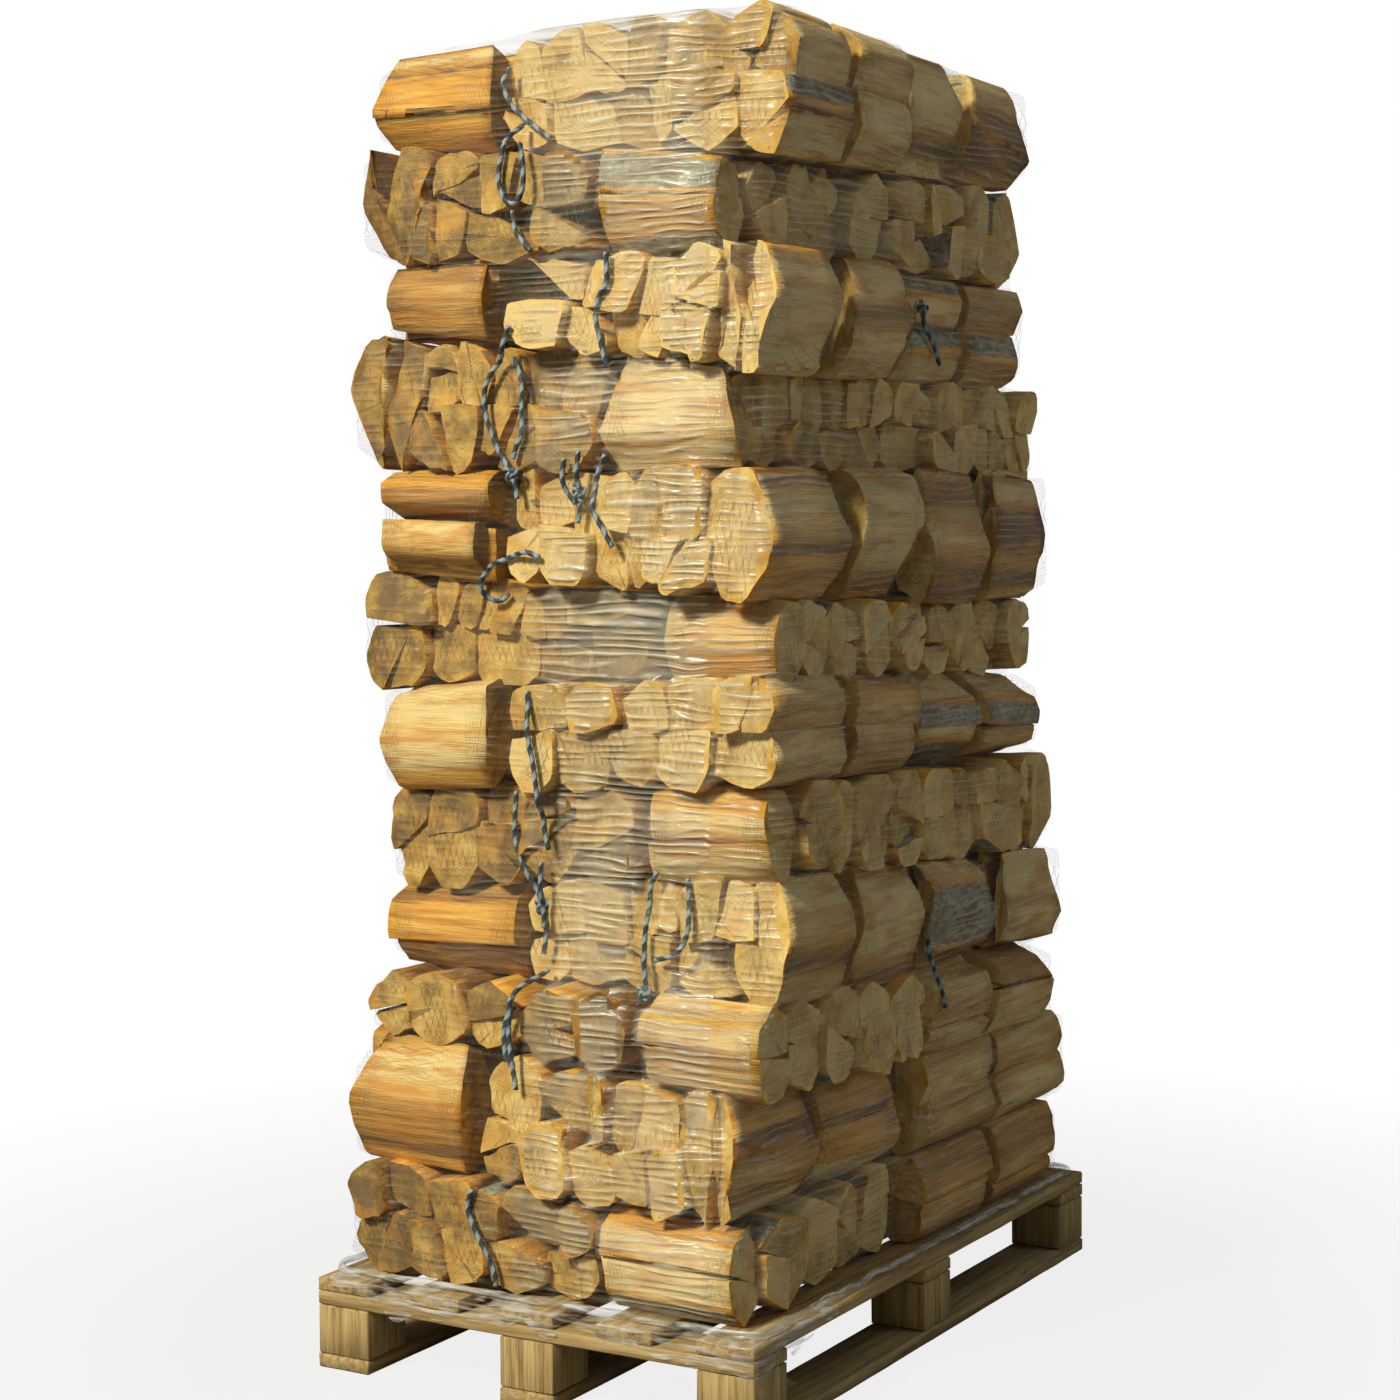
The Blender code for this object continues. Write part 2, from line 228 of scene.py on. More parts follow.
# Most bags have one large log on the side that shows, as high as the bag, in place of two
def withSideLog(shares, number):
    heights = [share["first"][:, 1].mean() for share in shares]
    middle = 0.5 * (min(heights) + max(heights))
    rows = [[i for i, z in enumerate(heights) if (z > middle) == above] for above in (False, True)]
    if max(heights) - min(heights) < sideLogs["rowApart"] or number % 7 in sideLogs["left"]:
        return shares
    pair = [max(row, key=lambda i: float(np.abs(shares[i]["first"][:, 0]).max())) for row in rows]
    lower, upper = (shares[i] for i in pair)
    first = np.concatenate([lower["first"], upper["first"]])
    corners = roundAll(first)
    large = {
        "from": min(lower["from"], upper["from"]),
        "to": max(lower["to"], upper["to"]),
        "first": first[corners],
        "last": np.concatenate([lower["last"], upper["last"]])[corners],
        "whole": True,
    }
    return [share for i, share in enumerate(shares) if i not in pair] + [large]


bundles = {}
for number, node in enumerate(bagNodes):
    low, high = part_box(node)
    axis = 0 if high.x - low.x < 0.3 else 1
    bundles[node] = (axis, withSideLog(logShares(node, axis), number))


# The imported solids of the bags, and their large side logs, which fill the dip between two rows
def bagMeshes():
    meshes = []
    for name in bagNodes:
        data = nodes[name].data
        points = [tuple(vertex.co) for vertex in data.vertices]
        meshes.append((points, [tuple(face.vertices) for face in data.polygons]))
    for axis, shares in bundles.values():
        for share in (share for share in shares if "whole" in share):
            points = []
            for place, outline in ((share["from"], share["first"]), (share["to"], share["last"])):
                for across, z in outline:
                    points.append((place, across, z) if axis == 0 else (across, place, z))
            count = len(share["first"])
            meshes.append((points, gridFaces(2, count) + [range(count), range(count, 2 * count)]))
    return meshes


# what the drawstrings lie on
bagTree = BVHTree.FromPolygons(*joined(bagMeshes()))


# Where a straight line from the place in this direction meets the surface, or nothing
def meets(tree, place, direction, reach=2.0):
    return tree.ray_cast(Vector(place), Vector(direction), reach)[0]


# An sRGB hex colour as Blender's linear one
def linear(hexColour):
    channels = [int(hexColour[i : i + 2], 16) / 255 for i in (1, 3, 5)]
    return (*(c / 12.92 if c <= 0.04045 else ((c + 0.055) / 1.055) ** 2.4 for c in channels), 1.0)


# Gives each of a node's inputs what feeds it, another node's output or a fixed value
def feed(tree, node, inputs):
    for socket, value in inputs.items():
        if isinstance(value, bpy.types.NodeSocket):
            tree.links.new(value, node.inputs[socket])
        else:
            node.inputs[socket].default_value = value


# Adds one node with its settings and inputs, listed in order or by number or name, and gives one output
def add(tree, kind, inputs=(), out=0, **settings):
    node = tree.nodes.new("ShaderNode" + kind)
    for name, value in settings.items():
        setattr(node, name, value)
    feed(tree, node, inputs if isinstance(inputs, dict) else dict(enumerate(inputs)))
    return node.outputs[out]


# A colour ramp fed by factor, with stops as (position, hex colour)
def ramp(tree, factor, stops):
    node = add(tree, "ValToRGB", [factor]).node
    while len(node.color_ramp.elements) < len(stops):
        node.color_ramp.elements.new(0.5)
    for element, (position, colour) in zip(node.color_ramp.elements, stops):
        element.position = position
        element.color = linear(colour)
    return node.outputs["Color"]


def newMaterial(name):
    made = bpy.data.materials.new(name)
    made.use_nodes = True
    tree = made.node_tree
    return made, tree, tree.nodes["Principled BSDF"]


split = {
    "wood": [(0.22, "#7C5524"), (0.36, "#AC7826"), (0.49, "#CDA24B"), (0.64, "#E6CB85")],
    "resin": "#C58322",
    "bark": [(0.34, "#5C5643"), (0.44, "#85826B"), (0.56, "#9A9880"), (0.70, "#B9B59B")],
    "lichen": [(0.45, "#FFFFFF"), (0.62, "#C9B48A")],
    "innerBark": [(0.35, "#B87E22"), (0.50, "#D99A2B"), (0.68, "#E6B94F")],
    "streak": (11 * mm, 160 * mm),  # width and length, as in the next four
    "fibre": (2.2 * mm, 60 * mm),
    "resinRun": (26 * mm, 110 * mm),
    "barkCrack": (7 * mm, 16 * mm),
    "barkPatch": (40 * mm, 60 * mm),
    "ringWidth": 3.6 * mm,
}


# Noise that runs in streaks along the log, of this width and length
def streaks(tree, size, detail, seed=0.0):
    place = add(tree, "Attribute", out="Vector", attribute_name="woodPlace")
    scales = (1 / size[0], 1 / size[0], 1 / size[1])
    scaled = add(tree, "VectorMath", [place, scales], operation="MULTIPLY")
    moved = add(tree, "VectorMath", [scaled, (seed, seed, seed)], operation="ADD")
    return add(tree, "TexNoise", {"Vector": moved, "Scale": 1.0, "Detail": detail, "Roughness": 0.55})


# How far a point is from the heart of its tree, as growth rings from 0 to 1
def growthRings(tree, width):
    place = add(tree, "Attribute", out="Vector", attribute_name="woodPlace")
    flat = add(tree, "VectorMath", [place, (1, 1, 0)], operation="MULTIPLY")
    reach = add(tree, "VectorMath", [flat], out="Value", operation="LENGTH")
    wander = add(tree, "TexNoise", {"Vector": place, "Scale": 26.0, "Detail": 1.0})
    shift = add(tree, "Math", [wander, 0.012, reach], operation="MULTIPLY_ADD")
    turns = add(tree, "Math", [shift, 2 * math.pi / width], operation="MULTIPLY")
    wave = add(tree, "Math", [turns], operation="SINE")
    return add(tree, "Math", [wave, 0.5, 0.5], operation="MULTIPLY_ADD")


# Alder split along its fibres and dried: torn pale wood with long streaks and rough ridges,
# orange inner bark where the bark breaks off, and grey bark with dark cracks
def splitAlder():
    made, tree, shader = newMaterial("alder_split_and_dried")
    tone = add(tree, "Attribute", out="Vector", attribute_name="logTone")
    tones = add(tree, "SeparateXYZ", [tone]).node.outputs
    broad = streaks(tree, split["streak"], 4.0)
    fine = streaks(tree, split["fibre"], 3.0, 7.0)
    rings = growthRings(tree, split["ringWidth"])
    mixed = 0.13
    for part, share in ((broad, 0.52), (fine, 0.18), (rings, 0.06)):
        mixed = add(tree, "Math", [part, share, mixed], operation="MULTIPLY_ADD")
    perLog = add(tree, "Math", [tones[0], 0.22, -0.11], operation="MULTIPLY_ADD")
    mixed = add(tree, "Math", [mixed, perLog], operation="ADD")
    wood = ramp(tree, mixed, split["wood"])
    # resin and weather have turned some runs of it orange
    warm = streaks(tree, split["resinRun"], 3.0, 43.0)
    warm = add(tree, "MapRange", {"Value": warm, "From Min": 0.50, "From Max": 0.64, "To Max": 0.72})
    resin = {"Factor": warm, 6: wood, 7: linear(split["resin"])}
    wood = add(tree, "Mix", resin, out=2, data_type="RGBA")
    # bark: cracked plates with paler patches
    crack = streaks(tree, split["barkCrack"], 5.0, 19.0)
    patch = streaks(tree, split["barkPatch"], 2.0, 31.0)
    patched = {"Factor": 1.0, 6: ramp(tree, crack, split["bark"]), 7: ramp(tree, patch, split["lichen"])}
    bark = add(tree, "Mix", patched, out=2, data_type="RGBA", blend_type="MULTIPLY")
    edge = add(tree, "Attribute", out="Fac", attribute_name="barkness")
    ragged = add(tree, "Math", [fine, 0.5, -0.25], operation="MULTIPLY_ADD")
    edge = add(tree, "Math", [edge, ragged], operation="ADD")
    inner = add(tree, "MapRange", {"Value": edge, "From Min": 0.14, "From Max": 0.24})
    outer = add(tree, "MapRange", {"Value": edge, "From Min": 0.74, "From Max": 0.86})
    colour = wood
    for share, layer in ((inner, ramp(tree, broad, split["innerBark"])), (outer, bark)):
        colour = add(tree, "Mix", {"Factor": share, 6: colour, 7: layer}, out=2, data_type="RGBA")
    relief = add(tree, "Math", [broad, 1.6, fine], operation="MULTIPLY_ADD")
    relief = add(tree, "Mix", {"Factor": outer, 2: relief, 3: crack}, data_type="FLOAT")
    bump = add(tree, "Bump", {"Height": relief, "Strength": 0.75, "Distance": 2.5 * mm})
    rough = add(tree, "MapRange", {"Value": fine, "To Min": 0.62, "To Max": 0.85})
    feed(tree, shader, {"Base Color": colour, "Normal": bump, "Roughness": rough, "IOR": 1.5})
    return made


sawn = {
    "wood": [
        (0.08, "#6B5026"),
        (0.24, "#84662B"),
        (0.36, "#A48237"),
        (0.45, "#B99443"),
        (0.56, "#CBA753"),
        (0.70, "#DDC078"),
    ],
    "sap": "#CC9030",
    "crack": [(0.0, "#8A6534"), (1.0, "#FFFFFF")],
    "innerBark": "#D99A2B",
    "crust": "#5F5138",
    "teeth": 0.35 / (2 * math.pi * 0.9 * mm),  # scale of the saw's marks, about 6 mm apart
}


# Alder cut across by a chain saw: growth rings, drying cracks from the heart and faint tooth marks
def sawnAlder():
    made, tree, shader = newMaterial("alder_sawn_across")
    tone = add(tree, "Attribute", out="Vector", attribute_name="logTone")
    tones = add(tree, "SeparateXYZ", [tone]).node.outputs
    place = add(tree, "Attribute", out="Vector", attribute_name="woodPlace")
    rings = growthRings(tree, split["ringWidth"])
    stain = add(tree, "TexNoise", {"Vector": place, "Scale": 22.0, "Detail": 4.0})
    grit = add(tree, "TexNoise", {"Vector": place, "Scale": 420.0, "Detail": 2.0})
    mottle = add(tree, "TexNoise", {"Vector": place, "Scale": 62.0, "Detail": 5.0, "Roughness": 0.62})
    mixed = -0.27
    for part, share in ((stain, 0.95), (mottle, 0.48), (rings, 0.07), (grit, 0.12)):
        mixed = add(tree, "Math", [part, share, mixed], operation="MULTIPLY_ADD")
    perLog = add(tree, "Math", [tones[1], 0.28, -0.14], operation="MULTIPLY_ADD")
    mixed = add(tree, "Math", [mixed, perLog], operation="ADD")
    wood = ramp(tree, mixed, sawn["wood"])
    # and orange where the sap has dried
    sap = add(tree, "TexNoise", {"Vector": place, "Scale": 17.0, "Detail": 3.0, "Lacunarity": 2.3})
    sap = add(tree, "MapRange", {"Value": sap, "From Min": 0.52, "From Max": 0.66, "To Max": 0.45})
    dried = {"Factor": sap, 6: wood, 7: linear(sawn["sap"])}
    wood = add(tree, "Mix", dried, out=2, data_type="RGBA")
    # cracks run out from the heart, so they depend on the bearing alone
    parts = add(tree, "SeparateXYZ", [place]).node.outputs
    bearing = add(tree, "Math", [parts[1], parts[0]], operation="ARCTAN2")
    shake = {"Vector": add(tree, "CombineXYZ", [bearing, tones[0], tones[1]]), "Scale": 2.6}
    cells = add(tree, "TexVoronoi", shake, out="Distance", feature="DISTANCE_TO_EDGE")
    check = add(tree, "MapRange", {"Value": cells, "From Min": 0.001, "From Max": 0.010})
    cracked = {"Factor": 0.5, 6: wood, 7: ramp(tree, check, sawn["crack"])}
    colour = add(tree, "Mix", cracked, out=2, data_type="RGBA", blend_type="MULTIPLY")
    edge = add(tree, "Attribute", out="Fac", attribute_name="barkness")
    for start, stop, layer in ((0.25, 0.45, "innerBark"), (0.68, 0.82, "crust")):
        rim = add(tree, "MapRange", {"Value": edge, "From Min": start, "From Max": stop})
        layered = {"Factor": rim, 6: colour, 7: linear(sawn[layer])}
        colour = add(tree, "Mix", layered, out=2, data_type="RGBA")
    marks = {"Vector": place, "Scale": sawn["teeth"], "Distortion": 1.5}
    teeth = add(tree, "TexWave", marks, out="Fac", bands_direction="DIAGONAL")
    relief = add(tree, "Math", [teeth, 0.3, grit], operation="MULTIPLY_ADD")
    relief = add(tree, "Math", [check, 0.5, relief], operation="MULTIPLY_ADD")
    bump = add(tree, "Bump", {"Height": relief, "Strength": 0.4, "Distance": 1.0 * mm})
    feed(tree, shader, {"Base Color": colour, "Normal": bump, "Roughness": 0.78, "IOR": 1.5})
    return made


pine = {
    "wood": [(0.32, "#6A5530"), (0.43, "#957A48"), (0.58, "#B39A66"), (0.72, "#C2AD7C")],
    "grey": "#7E7860",
    "grain": (9 * mm, 260 * mm),  # width and length
}


# Rough-sawn pine, weathered: straight grain going grey, with a furry saw surface.
# The grain runs along the local axis named.
def roughPine(name, axis, age):
    made, tree, shader = newMaterial(name)
    place = add(tree, "TexCoord", out="Object")
    across, along = 1 / pine["grain"][0], 1 / pine["grain"][1]
    scales = [across, across, across * 0.9]
    scales["XYZ".index(axis)] = along
    grainAt = add(tree, "VectorMath", [place, scales], operation="MULTIPLY")
    grain = add(tree, "TexNoise", {"Vector": grainAt, "Scale": 1.0, "Detail": 5.0, "Distortion": 0.6})
    fineAt = add(tree, "VectorMath", [grainAt, (5.0, 5.0, 5.0)], operation="MULTIPLY")
    fine = add(tree, "TexNoise", {"Vector": fineAt, "Scale": 1.0, "Detail": 3.0})
    dirt = add(tree, "TexNoise", {"Vector": place, "Scale": 9.0, "Detail": 5.0})
    mixed = 0.0
    for part, share in ((grain, 0.65), (fine, 0.35)):
        mixed = add(tree, "Math", [part, share, mixed], operation="MULTIPLY_ADD")
    grime = add(tree, "MapRange", {"Value": dirt, "From Min": 0.62 - age, "From Max": 0.85 - age})
    greyed = {"Factor": grime, 6: ramp(tree, mixed, pine["wood"]), 7: linear(pine["grey"])}
    colour = add(tree, "Mix", greyed, out=2, data_type="RGBA")
    bump = add(tree, "Bump", {"Height": mixed, "Strength": 0.6, "Distance": 1.5 * mm})
    feed(tree, shader, {"Base Color": colour, "Normal": bump, "Roughness": 0.82, "IOR": 1.5})
    return made


ground = {
    "half": 14.0,
    "colour": "#7E7C77",
    "near": 0.9,  # the shadow shows in full this far from the object's middle
    "far": 2.2,  # and from here on the floor is plain white
}


# The floor and the world: plain white to the camera, with the object's soft shadow near it
def whiteGround():
    made, tree, shader = newMaterial("white_floor")
    place = add(tree, "TexCoord", out="Object")
    reach = add(tree, "VectorMath", [place], out="Value", operation="LENGTH")
    fade = {"Value": reach, "From Min": ground["near"], "From Max": ground["far"], "To Min": 0.84}
    far = add(tree, "MapRange", fade)
    path = add(tree, "LightPath").node.outputs
    seen = add(tree, "Math", [path["Is Camera Ray"], far], operation="MULTIPLY")
    glow = add(tree, "Emission", {"Color": (1, 1, 1, 1), "Strength": 1.0})
    feed(tree, shader, {"Base Color": linear(ground["colour"]), "Roughness": 0.9})
    mixed = add(tree, "MixShader", [seen, shader.outputs[0], glow])
    feed(tree, tree.nodes["Material Output"], {"Surface": mixed})
    return made


def addGround():
    half = ground["half"]
    corners = [(x, y, -0.5 * mm) for x, y in ((-half, -half), (half, -half), (half, half), (-half, half))]
    floor = meshObject("floor", corners, [(0, 1, 2, 3)], whiteGround())
    world = bpy.data.worlds.new("studio")
    world.use_nodes = True
    tree = world.node_tree
    path = add(tree, "LightPath").node.outputs
    rays = [path["Is Camera Ray"], path["Is Transmission Ray"]]
    seen = add(tree, "Math", rays, operation="MAXIMUM")
    level = add(tree, "MapRange", {"Value": seen, "To Min": 0.16, "To Max": 1.0})
    feed(tree, tree.nodes["Background"], {"Strength": level, "Color": (1, 1, 1, 1)})
    bpy.context.scene.world = world


addGround()
bpy.context.scene.view_settings.view_transform = "Standard"

strings = {
    "thick": 9 * mm,
    "sides": 10,
    "step": 4 * mm,  # between rings of points
    "turn": 27 * mm,  # the two plies turn once round each other in this length
    "clear": 1.0 * mm,  # between a string and the logs
    # the twine's colours, from the painted shade of its grooves to the painted highlight of its crowns
    "plies": [(0.0, "#2E3A40"), (0.55, "#54676F"), (1.0, "#8C9FA6")],
    "knot": 4 * mm,  # a knot is about six times as wide as this
    "tautOver": 32 * mm,  # a string bridges hollows up to twice as long as this
}

# Each route in millimetres, as (x, z) on the front of the stack or (y, z) on its long side,
# from where the string leaves its bag
frontRoutes = {
    "top_hook": [(-112, 2050), (-112, 2022), (-98, 1992), (-70, 1966), (-24, 1932)],
    "top_loop": [
        (-70, 1958), (-82, 1920), (-92, 1872), (-82, 1838), (-62, 1830), (-48, 1850), (-46, 1885),
        (-52, 1922),
    ],
    "top_tail": [(-74, 1820), (-70, 1792), (-56, 1772), (-42, 1756)],
    "ribbon": [(109, 1745), (110, 1702), (94, 1674), (90, 1642), (97, 1606), (106, 1572)],
    "long_loop": [
        (-64, 1640), (-80, 1604), (-104, 1576), (-121, 1546), (-121, 1512), (-112, 1478), (-100, 1450),
        (-84, 1428), (-70, 1404), (-64, 1374),
    ],
    "long_loop_back": [
        (-72, 1592), (-62, 1574), (-55, 1548), (-55, 1508), (-56, 1474), (-66, 1455), (-73, 1436),
    ],
    "short_pair": [(56, 1446), (52, 1418), (50, 1390), (50, 1362), (46, 1336)],
    "short_side": [(30, 1436), (26, 1408), (30, 1384), (42, 1366)],
    "slant": [(98, 1440), (86, 1415), (79, 1392), (81, 1368), (92, 1346), (108, 1322), (120, 1300)],
    "hook": [
        (-8, 1284), (-32, 1292), (-58, 1288), (-86, 1279), (-113, 1270), (-133, 1254), (-141, 1236),
        (-134, 1220), (-116, 1215), (-101, 1226),
    ],
    "middle": [(-40, 1078), (-34, 1012), (-25, 968), (-18, 915), (-24, 872), (-16, 832)],
    "vee_left": [(-88, 918), (-91, 880), (-90, 838), (-72, 794), (-52, 744), (-44, 700), (-50, 664)],
    "vee_right": [(-30, 812), (-32, 776), (-36, 742), (-38, 708)],
    "pair_left": [(-42, 640), (-66, 614), (-78, 582), (-88, 546), (-84, 502)],
    "pair_right": [(-62, 606), (-66, 560), (-62, 512), (-54, 464)],
    "cup_left": [(168, 806), (156, 782), (151, 744), (146, 702), (145, 660), (146, 626), (132, 602)],
    "cup_right": [(222, 800), (223, 752), (218, 712), (200, 684), (164, 672)],
    "foot_curve": [(-130, 304), (-139, 276), (-124, 240), (-104, 206), (-94, 176), (-92, 156)],
}
sideRoutes = {
    "side_short": [(-30, 664), (-22, 632), (2, 600), (22, 568), (36, 536)],
    "side_top": [(60, 1700), (74, 1664), (104, 1630), (128, 1596)],
}
# The axis that each of these sides looks along, its sign, and how far out the stack is at least
facings = {"front": (1, -1, 0.2), "side": (0, 1, 0.1)}
# How far along a route its knot is, as a share
knots = {"long_loop": 0.88, "short_pair": 0.62, "vee_left": 0.70, "cup_left": 0.90, "side_top": 0.15}


# A smooth line through a route's points, a step apart
def smoothLine(route, step):
    points = np.array(route, dtype=float) / 1000
    ends = np.vstack([2 * points[0] - points[1], points, 2 * points[-1] - points[-2]])
    line = []
    for a, b, c, d in zip(ends, ends[1:], ends[2:], ends[3:]):
        count = max(2, int(np.linalg.norm(c - b) / step))
        for t in (i / count for i in range(count)):
            curve = 2 * b + (c - a) * t + (2 * a - 5 * b + 4 * c - d) * t**2
            line.append(0.5 * (curve + (3 * b - a - 3 * c + d) * t**3))
    line.append(points[-1])
    return np.array(line)


# A route laid on the stack: each point stands clear of the logs, and bridges the gaps between them
def laidLine(route, facing):
    flat = smoothLine(route, strings["step"])
    axis, sign, least = facings[facing]
    out = []
    for across, z in flat:
        start, way = [across, across, z], [0, 0, 0]
        start[axis], way[axis] = 0.9 * sign, -sign
        hit = meets(bagTree, start, way)
        out.append(sign * hit[axis] if hit and sign * hit[axis] > least else np.nan)
    out = np.array(out)
    out[np.isnan(out)] = np.nanmin(out)
    reach = round(strings["tautOver"] / strings["step"])
    padded = np.pad(out, reach, mode="edge")
    out = np.array([padded[i : i + 2 * reach + 1].max() for i in range(len(out))])
    for _ in range(12):
        out = eased(out)
    line = flat[:, [0, 0, 1]]
    line[:, axis] = sign * (out + strings["thick"] / 2 + strings["clear"])
    return line


# A tube round a line, whose radius may differ round and along it; closed at both ends
def tubeMesh(line, sides, radiusAt):
    tangents = np.gradient(line, axis=0)
    tangents /= np.linalg.norm(tangents, axis=1, keepdims=True)
    first = np.cross(tangents[0], (0.31, 0.87, 0.38))
    first /= np.linalg.norm(first)
    points, place = [], []
    run = 0.0
    for i, (centre, tangent) in enumerate(zip(line, tangents)):
        if i:
            run += float(np.linalg.norm(centre - line[i - 1]))
        first = first - tangent * (first @ tangent)
        first /= np.linalg.norm(first)
        second = np.cross(tangent, first)
        for k in range(sides):
            angle = 2 * math.pi * k / sides
            radius = radiusAt(angle, run)
            points.append(centre + radius * (math.cos(angle) * first + math.sin(angle) * second))
            place.append((angle, run, 0.0))
    faces = gridFaces(len(line), sides)
    faces.append(tuple(range(sides))[::-1])
    faces.append(tuple(range((len(line) - 1) * sides, len(line) * sides)))
    return points, faces, place, run


# Two-ply polypropylene twine: a painted highlight on each ply's crown, and painted shade in the dark
# groove between
def twistedTwine():
    made, tree, shader = newMaterial("polypropylene_twine_twisted")
    place = add(tree, "Attribute", out="Vector", attribute_name="twinePlace")
    parts = add(tree, "SeparateXYZ", [place]).node.outputs
    winding = [parts[1], -2 * math.pi / strings["turn"], parts[0]]
    turned = add(tree, "Math", winding, operation="MULTIPLY_ADD")
    plies = add(tree, "Math", [turned], operation="SINE")
    ply = add(tree, "MapRange", {"Value": plies, "From Min": -0.35, "From Max": 0.45})
    fuzz = add(tree, "TexNoise", {"Vector": place, "Scale": 180.0, "Detail": 2.0})
    shade = add(tree, "Math", [fuzz, 0.35, -0.17], operation="MULTIPLY_ADD")
    ply = add(tree, "Math", [ply, shade], operation="ADD", use_clamp=True)
    # painted shade in the grooves and painted highlight on the crowns, following the ply's turn
    colour = ramp(tree, ply, strings["plies"])
    bump = add(tree, "Bump", {"Height": fuzz, "Strength": 0.4, "Distance": 0.6 * mm})
    feed(tree, shader, {"Base Color": colour, "Normal": bump, "Roughness": 0.55, "IOR": 1.49})
    return made


# A tight overhand knot, a closed loop of the twine seen from outside
def knotMesh(centre, outward):
    upward = np.array((0.0, 0.0, 1.0))
    across = np.cross(outward, upward)
    turn = np.linspace(0, 2 * math.pi, 61)
    u = np.sin(turn) + 2 * np.sin(2 * turn)
    v = np.cos(turn) - 2 * np.cos(2 * turn)
    w = -np.sin(3 * turn)
    loop = u[:, None] * across + v[:, None] * upward + (0.9 * w + 0.4)[:, None] * outward
    line = centre + strings["knot"] * loop
    radius = 0.36 * strings["thick"]
    return tubeMesh(line, 8, lambda angle, run: radius)


stringMeshes = []


def addTwine(name, points, faces, place, finish):
    made = meshObject(name, points, faces, finish)
    giveAttribute(made, "twinePlace", place)
    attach(made, "root")
    stringMeshes.append((points, faces))
    return made


def addStrings():
    finish = twistedTwine()
    radius = strings["thick"] / 2

    def plied(angle, run):
        return radius * (0.90 + 0.10 * math.cos(2 * (angle - 2 * math.pi * run / strings["turn"])))

    for facing, routes in (("front", frontRoutes), ("side", sideRoutes)):
        axis, sign, _ = facings[facing]
        for name, route in routes.items():
            line = laidLine(route, facing)
            points, faces, place, run = tubeMesh(line, strings["sides"], plied)
            made = addTwine("drawstring_" + name, points, faces, place, finish)
            if name in knots:
                centre = line[int(knots[name] * (len(line) - 1))]
                knot = knotMesh(centre, sign * np.eye(3)[axis])
                addTwine("knot_" + name, *knot[:3], finish)
    print("drawstrings:", len(frontRoutes) + len(sideRoutes))


addStrings()

net = {
    "cut": (0.76, 0.60),  # a sleeve's girth and length before it was filled
    "clear": 1.2 * mm,
    "around": 28,  # points round the sleeve, and rings of them along it
    "along": 14,
    "squareness": 0.24,  # 1 would be an ellipse and 0 a box
    "mouth": 0.6,  # its ends are drawn in to this share
    "sink": (35 * mm, 18 * mm),  # how deep it looks for a log, and how deep it lies where it finds none
    "mesh": 12 * mm,  # between threads, which is also the diamond's size
    "thread": 0.45 * mm,
    "colour": "#4C5142",
}


# Knitted polyethylene net: fine dark threads in diamonds, open between them
def knittedNet():
    made, tree, shader = newMaterial("polyethylene_net_knitted")
    place = add(tree, "Attribute", out="Vector", attribute_name="netPlace")
    parts = add(tree, "SeparateXYZ", [place]).node.outputs
    wander = add(tree, "TexNoise", {"Vector": place, "Scale": 30.0, "Detail": 2.0})
    moved = add(tree, "Math", [wander, 14 * mm, parts[0]], operation="MULTIPLY_ADD")
    masks = []
    for sign in (1, -1):
        slope = add(tree, "Math", [parts[1], sign, moved], operation="MULTIPLY_ADD")
        count = add(tree, "Math", [slope, 1 / net["mesh"]], operation="MULTIPLY")
        turn = add(tree, "Math", [count], operation="FRACT")
        thin = [turn, net["thread"] / net["mesh"]]
        masks.append(add(tree, "Math", thin, operation="LESS_THAN"))
    alpha = add(tree, "Math", [masks[0], masks[1]], operation="MAXIMUM")
    feed(tree, shader, {"Base Color": linear(net["colour"]), "Roughness": 0.6, "Alpha": alpha})
    return made


netFinish = knittedNet()


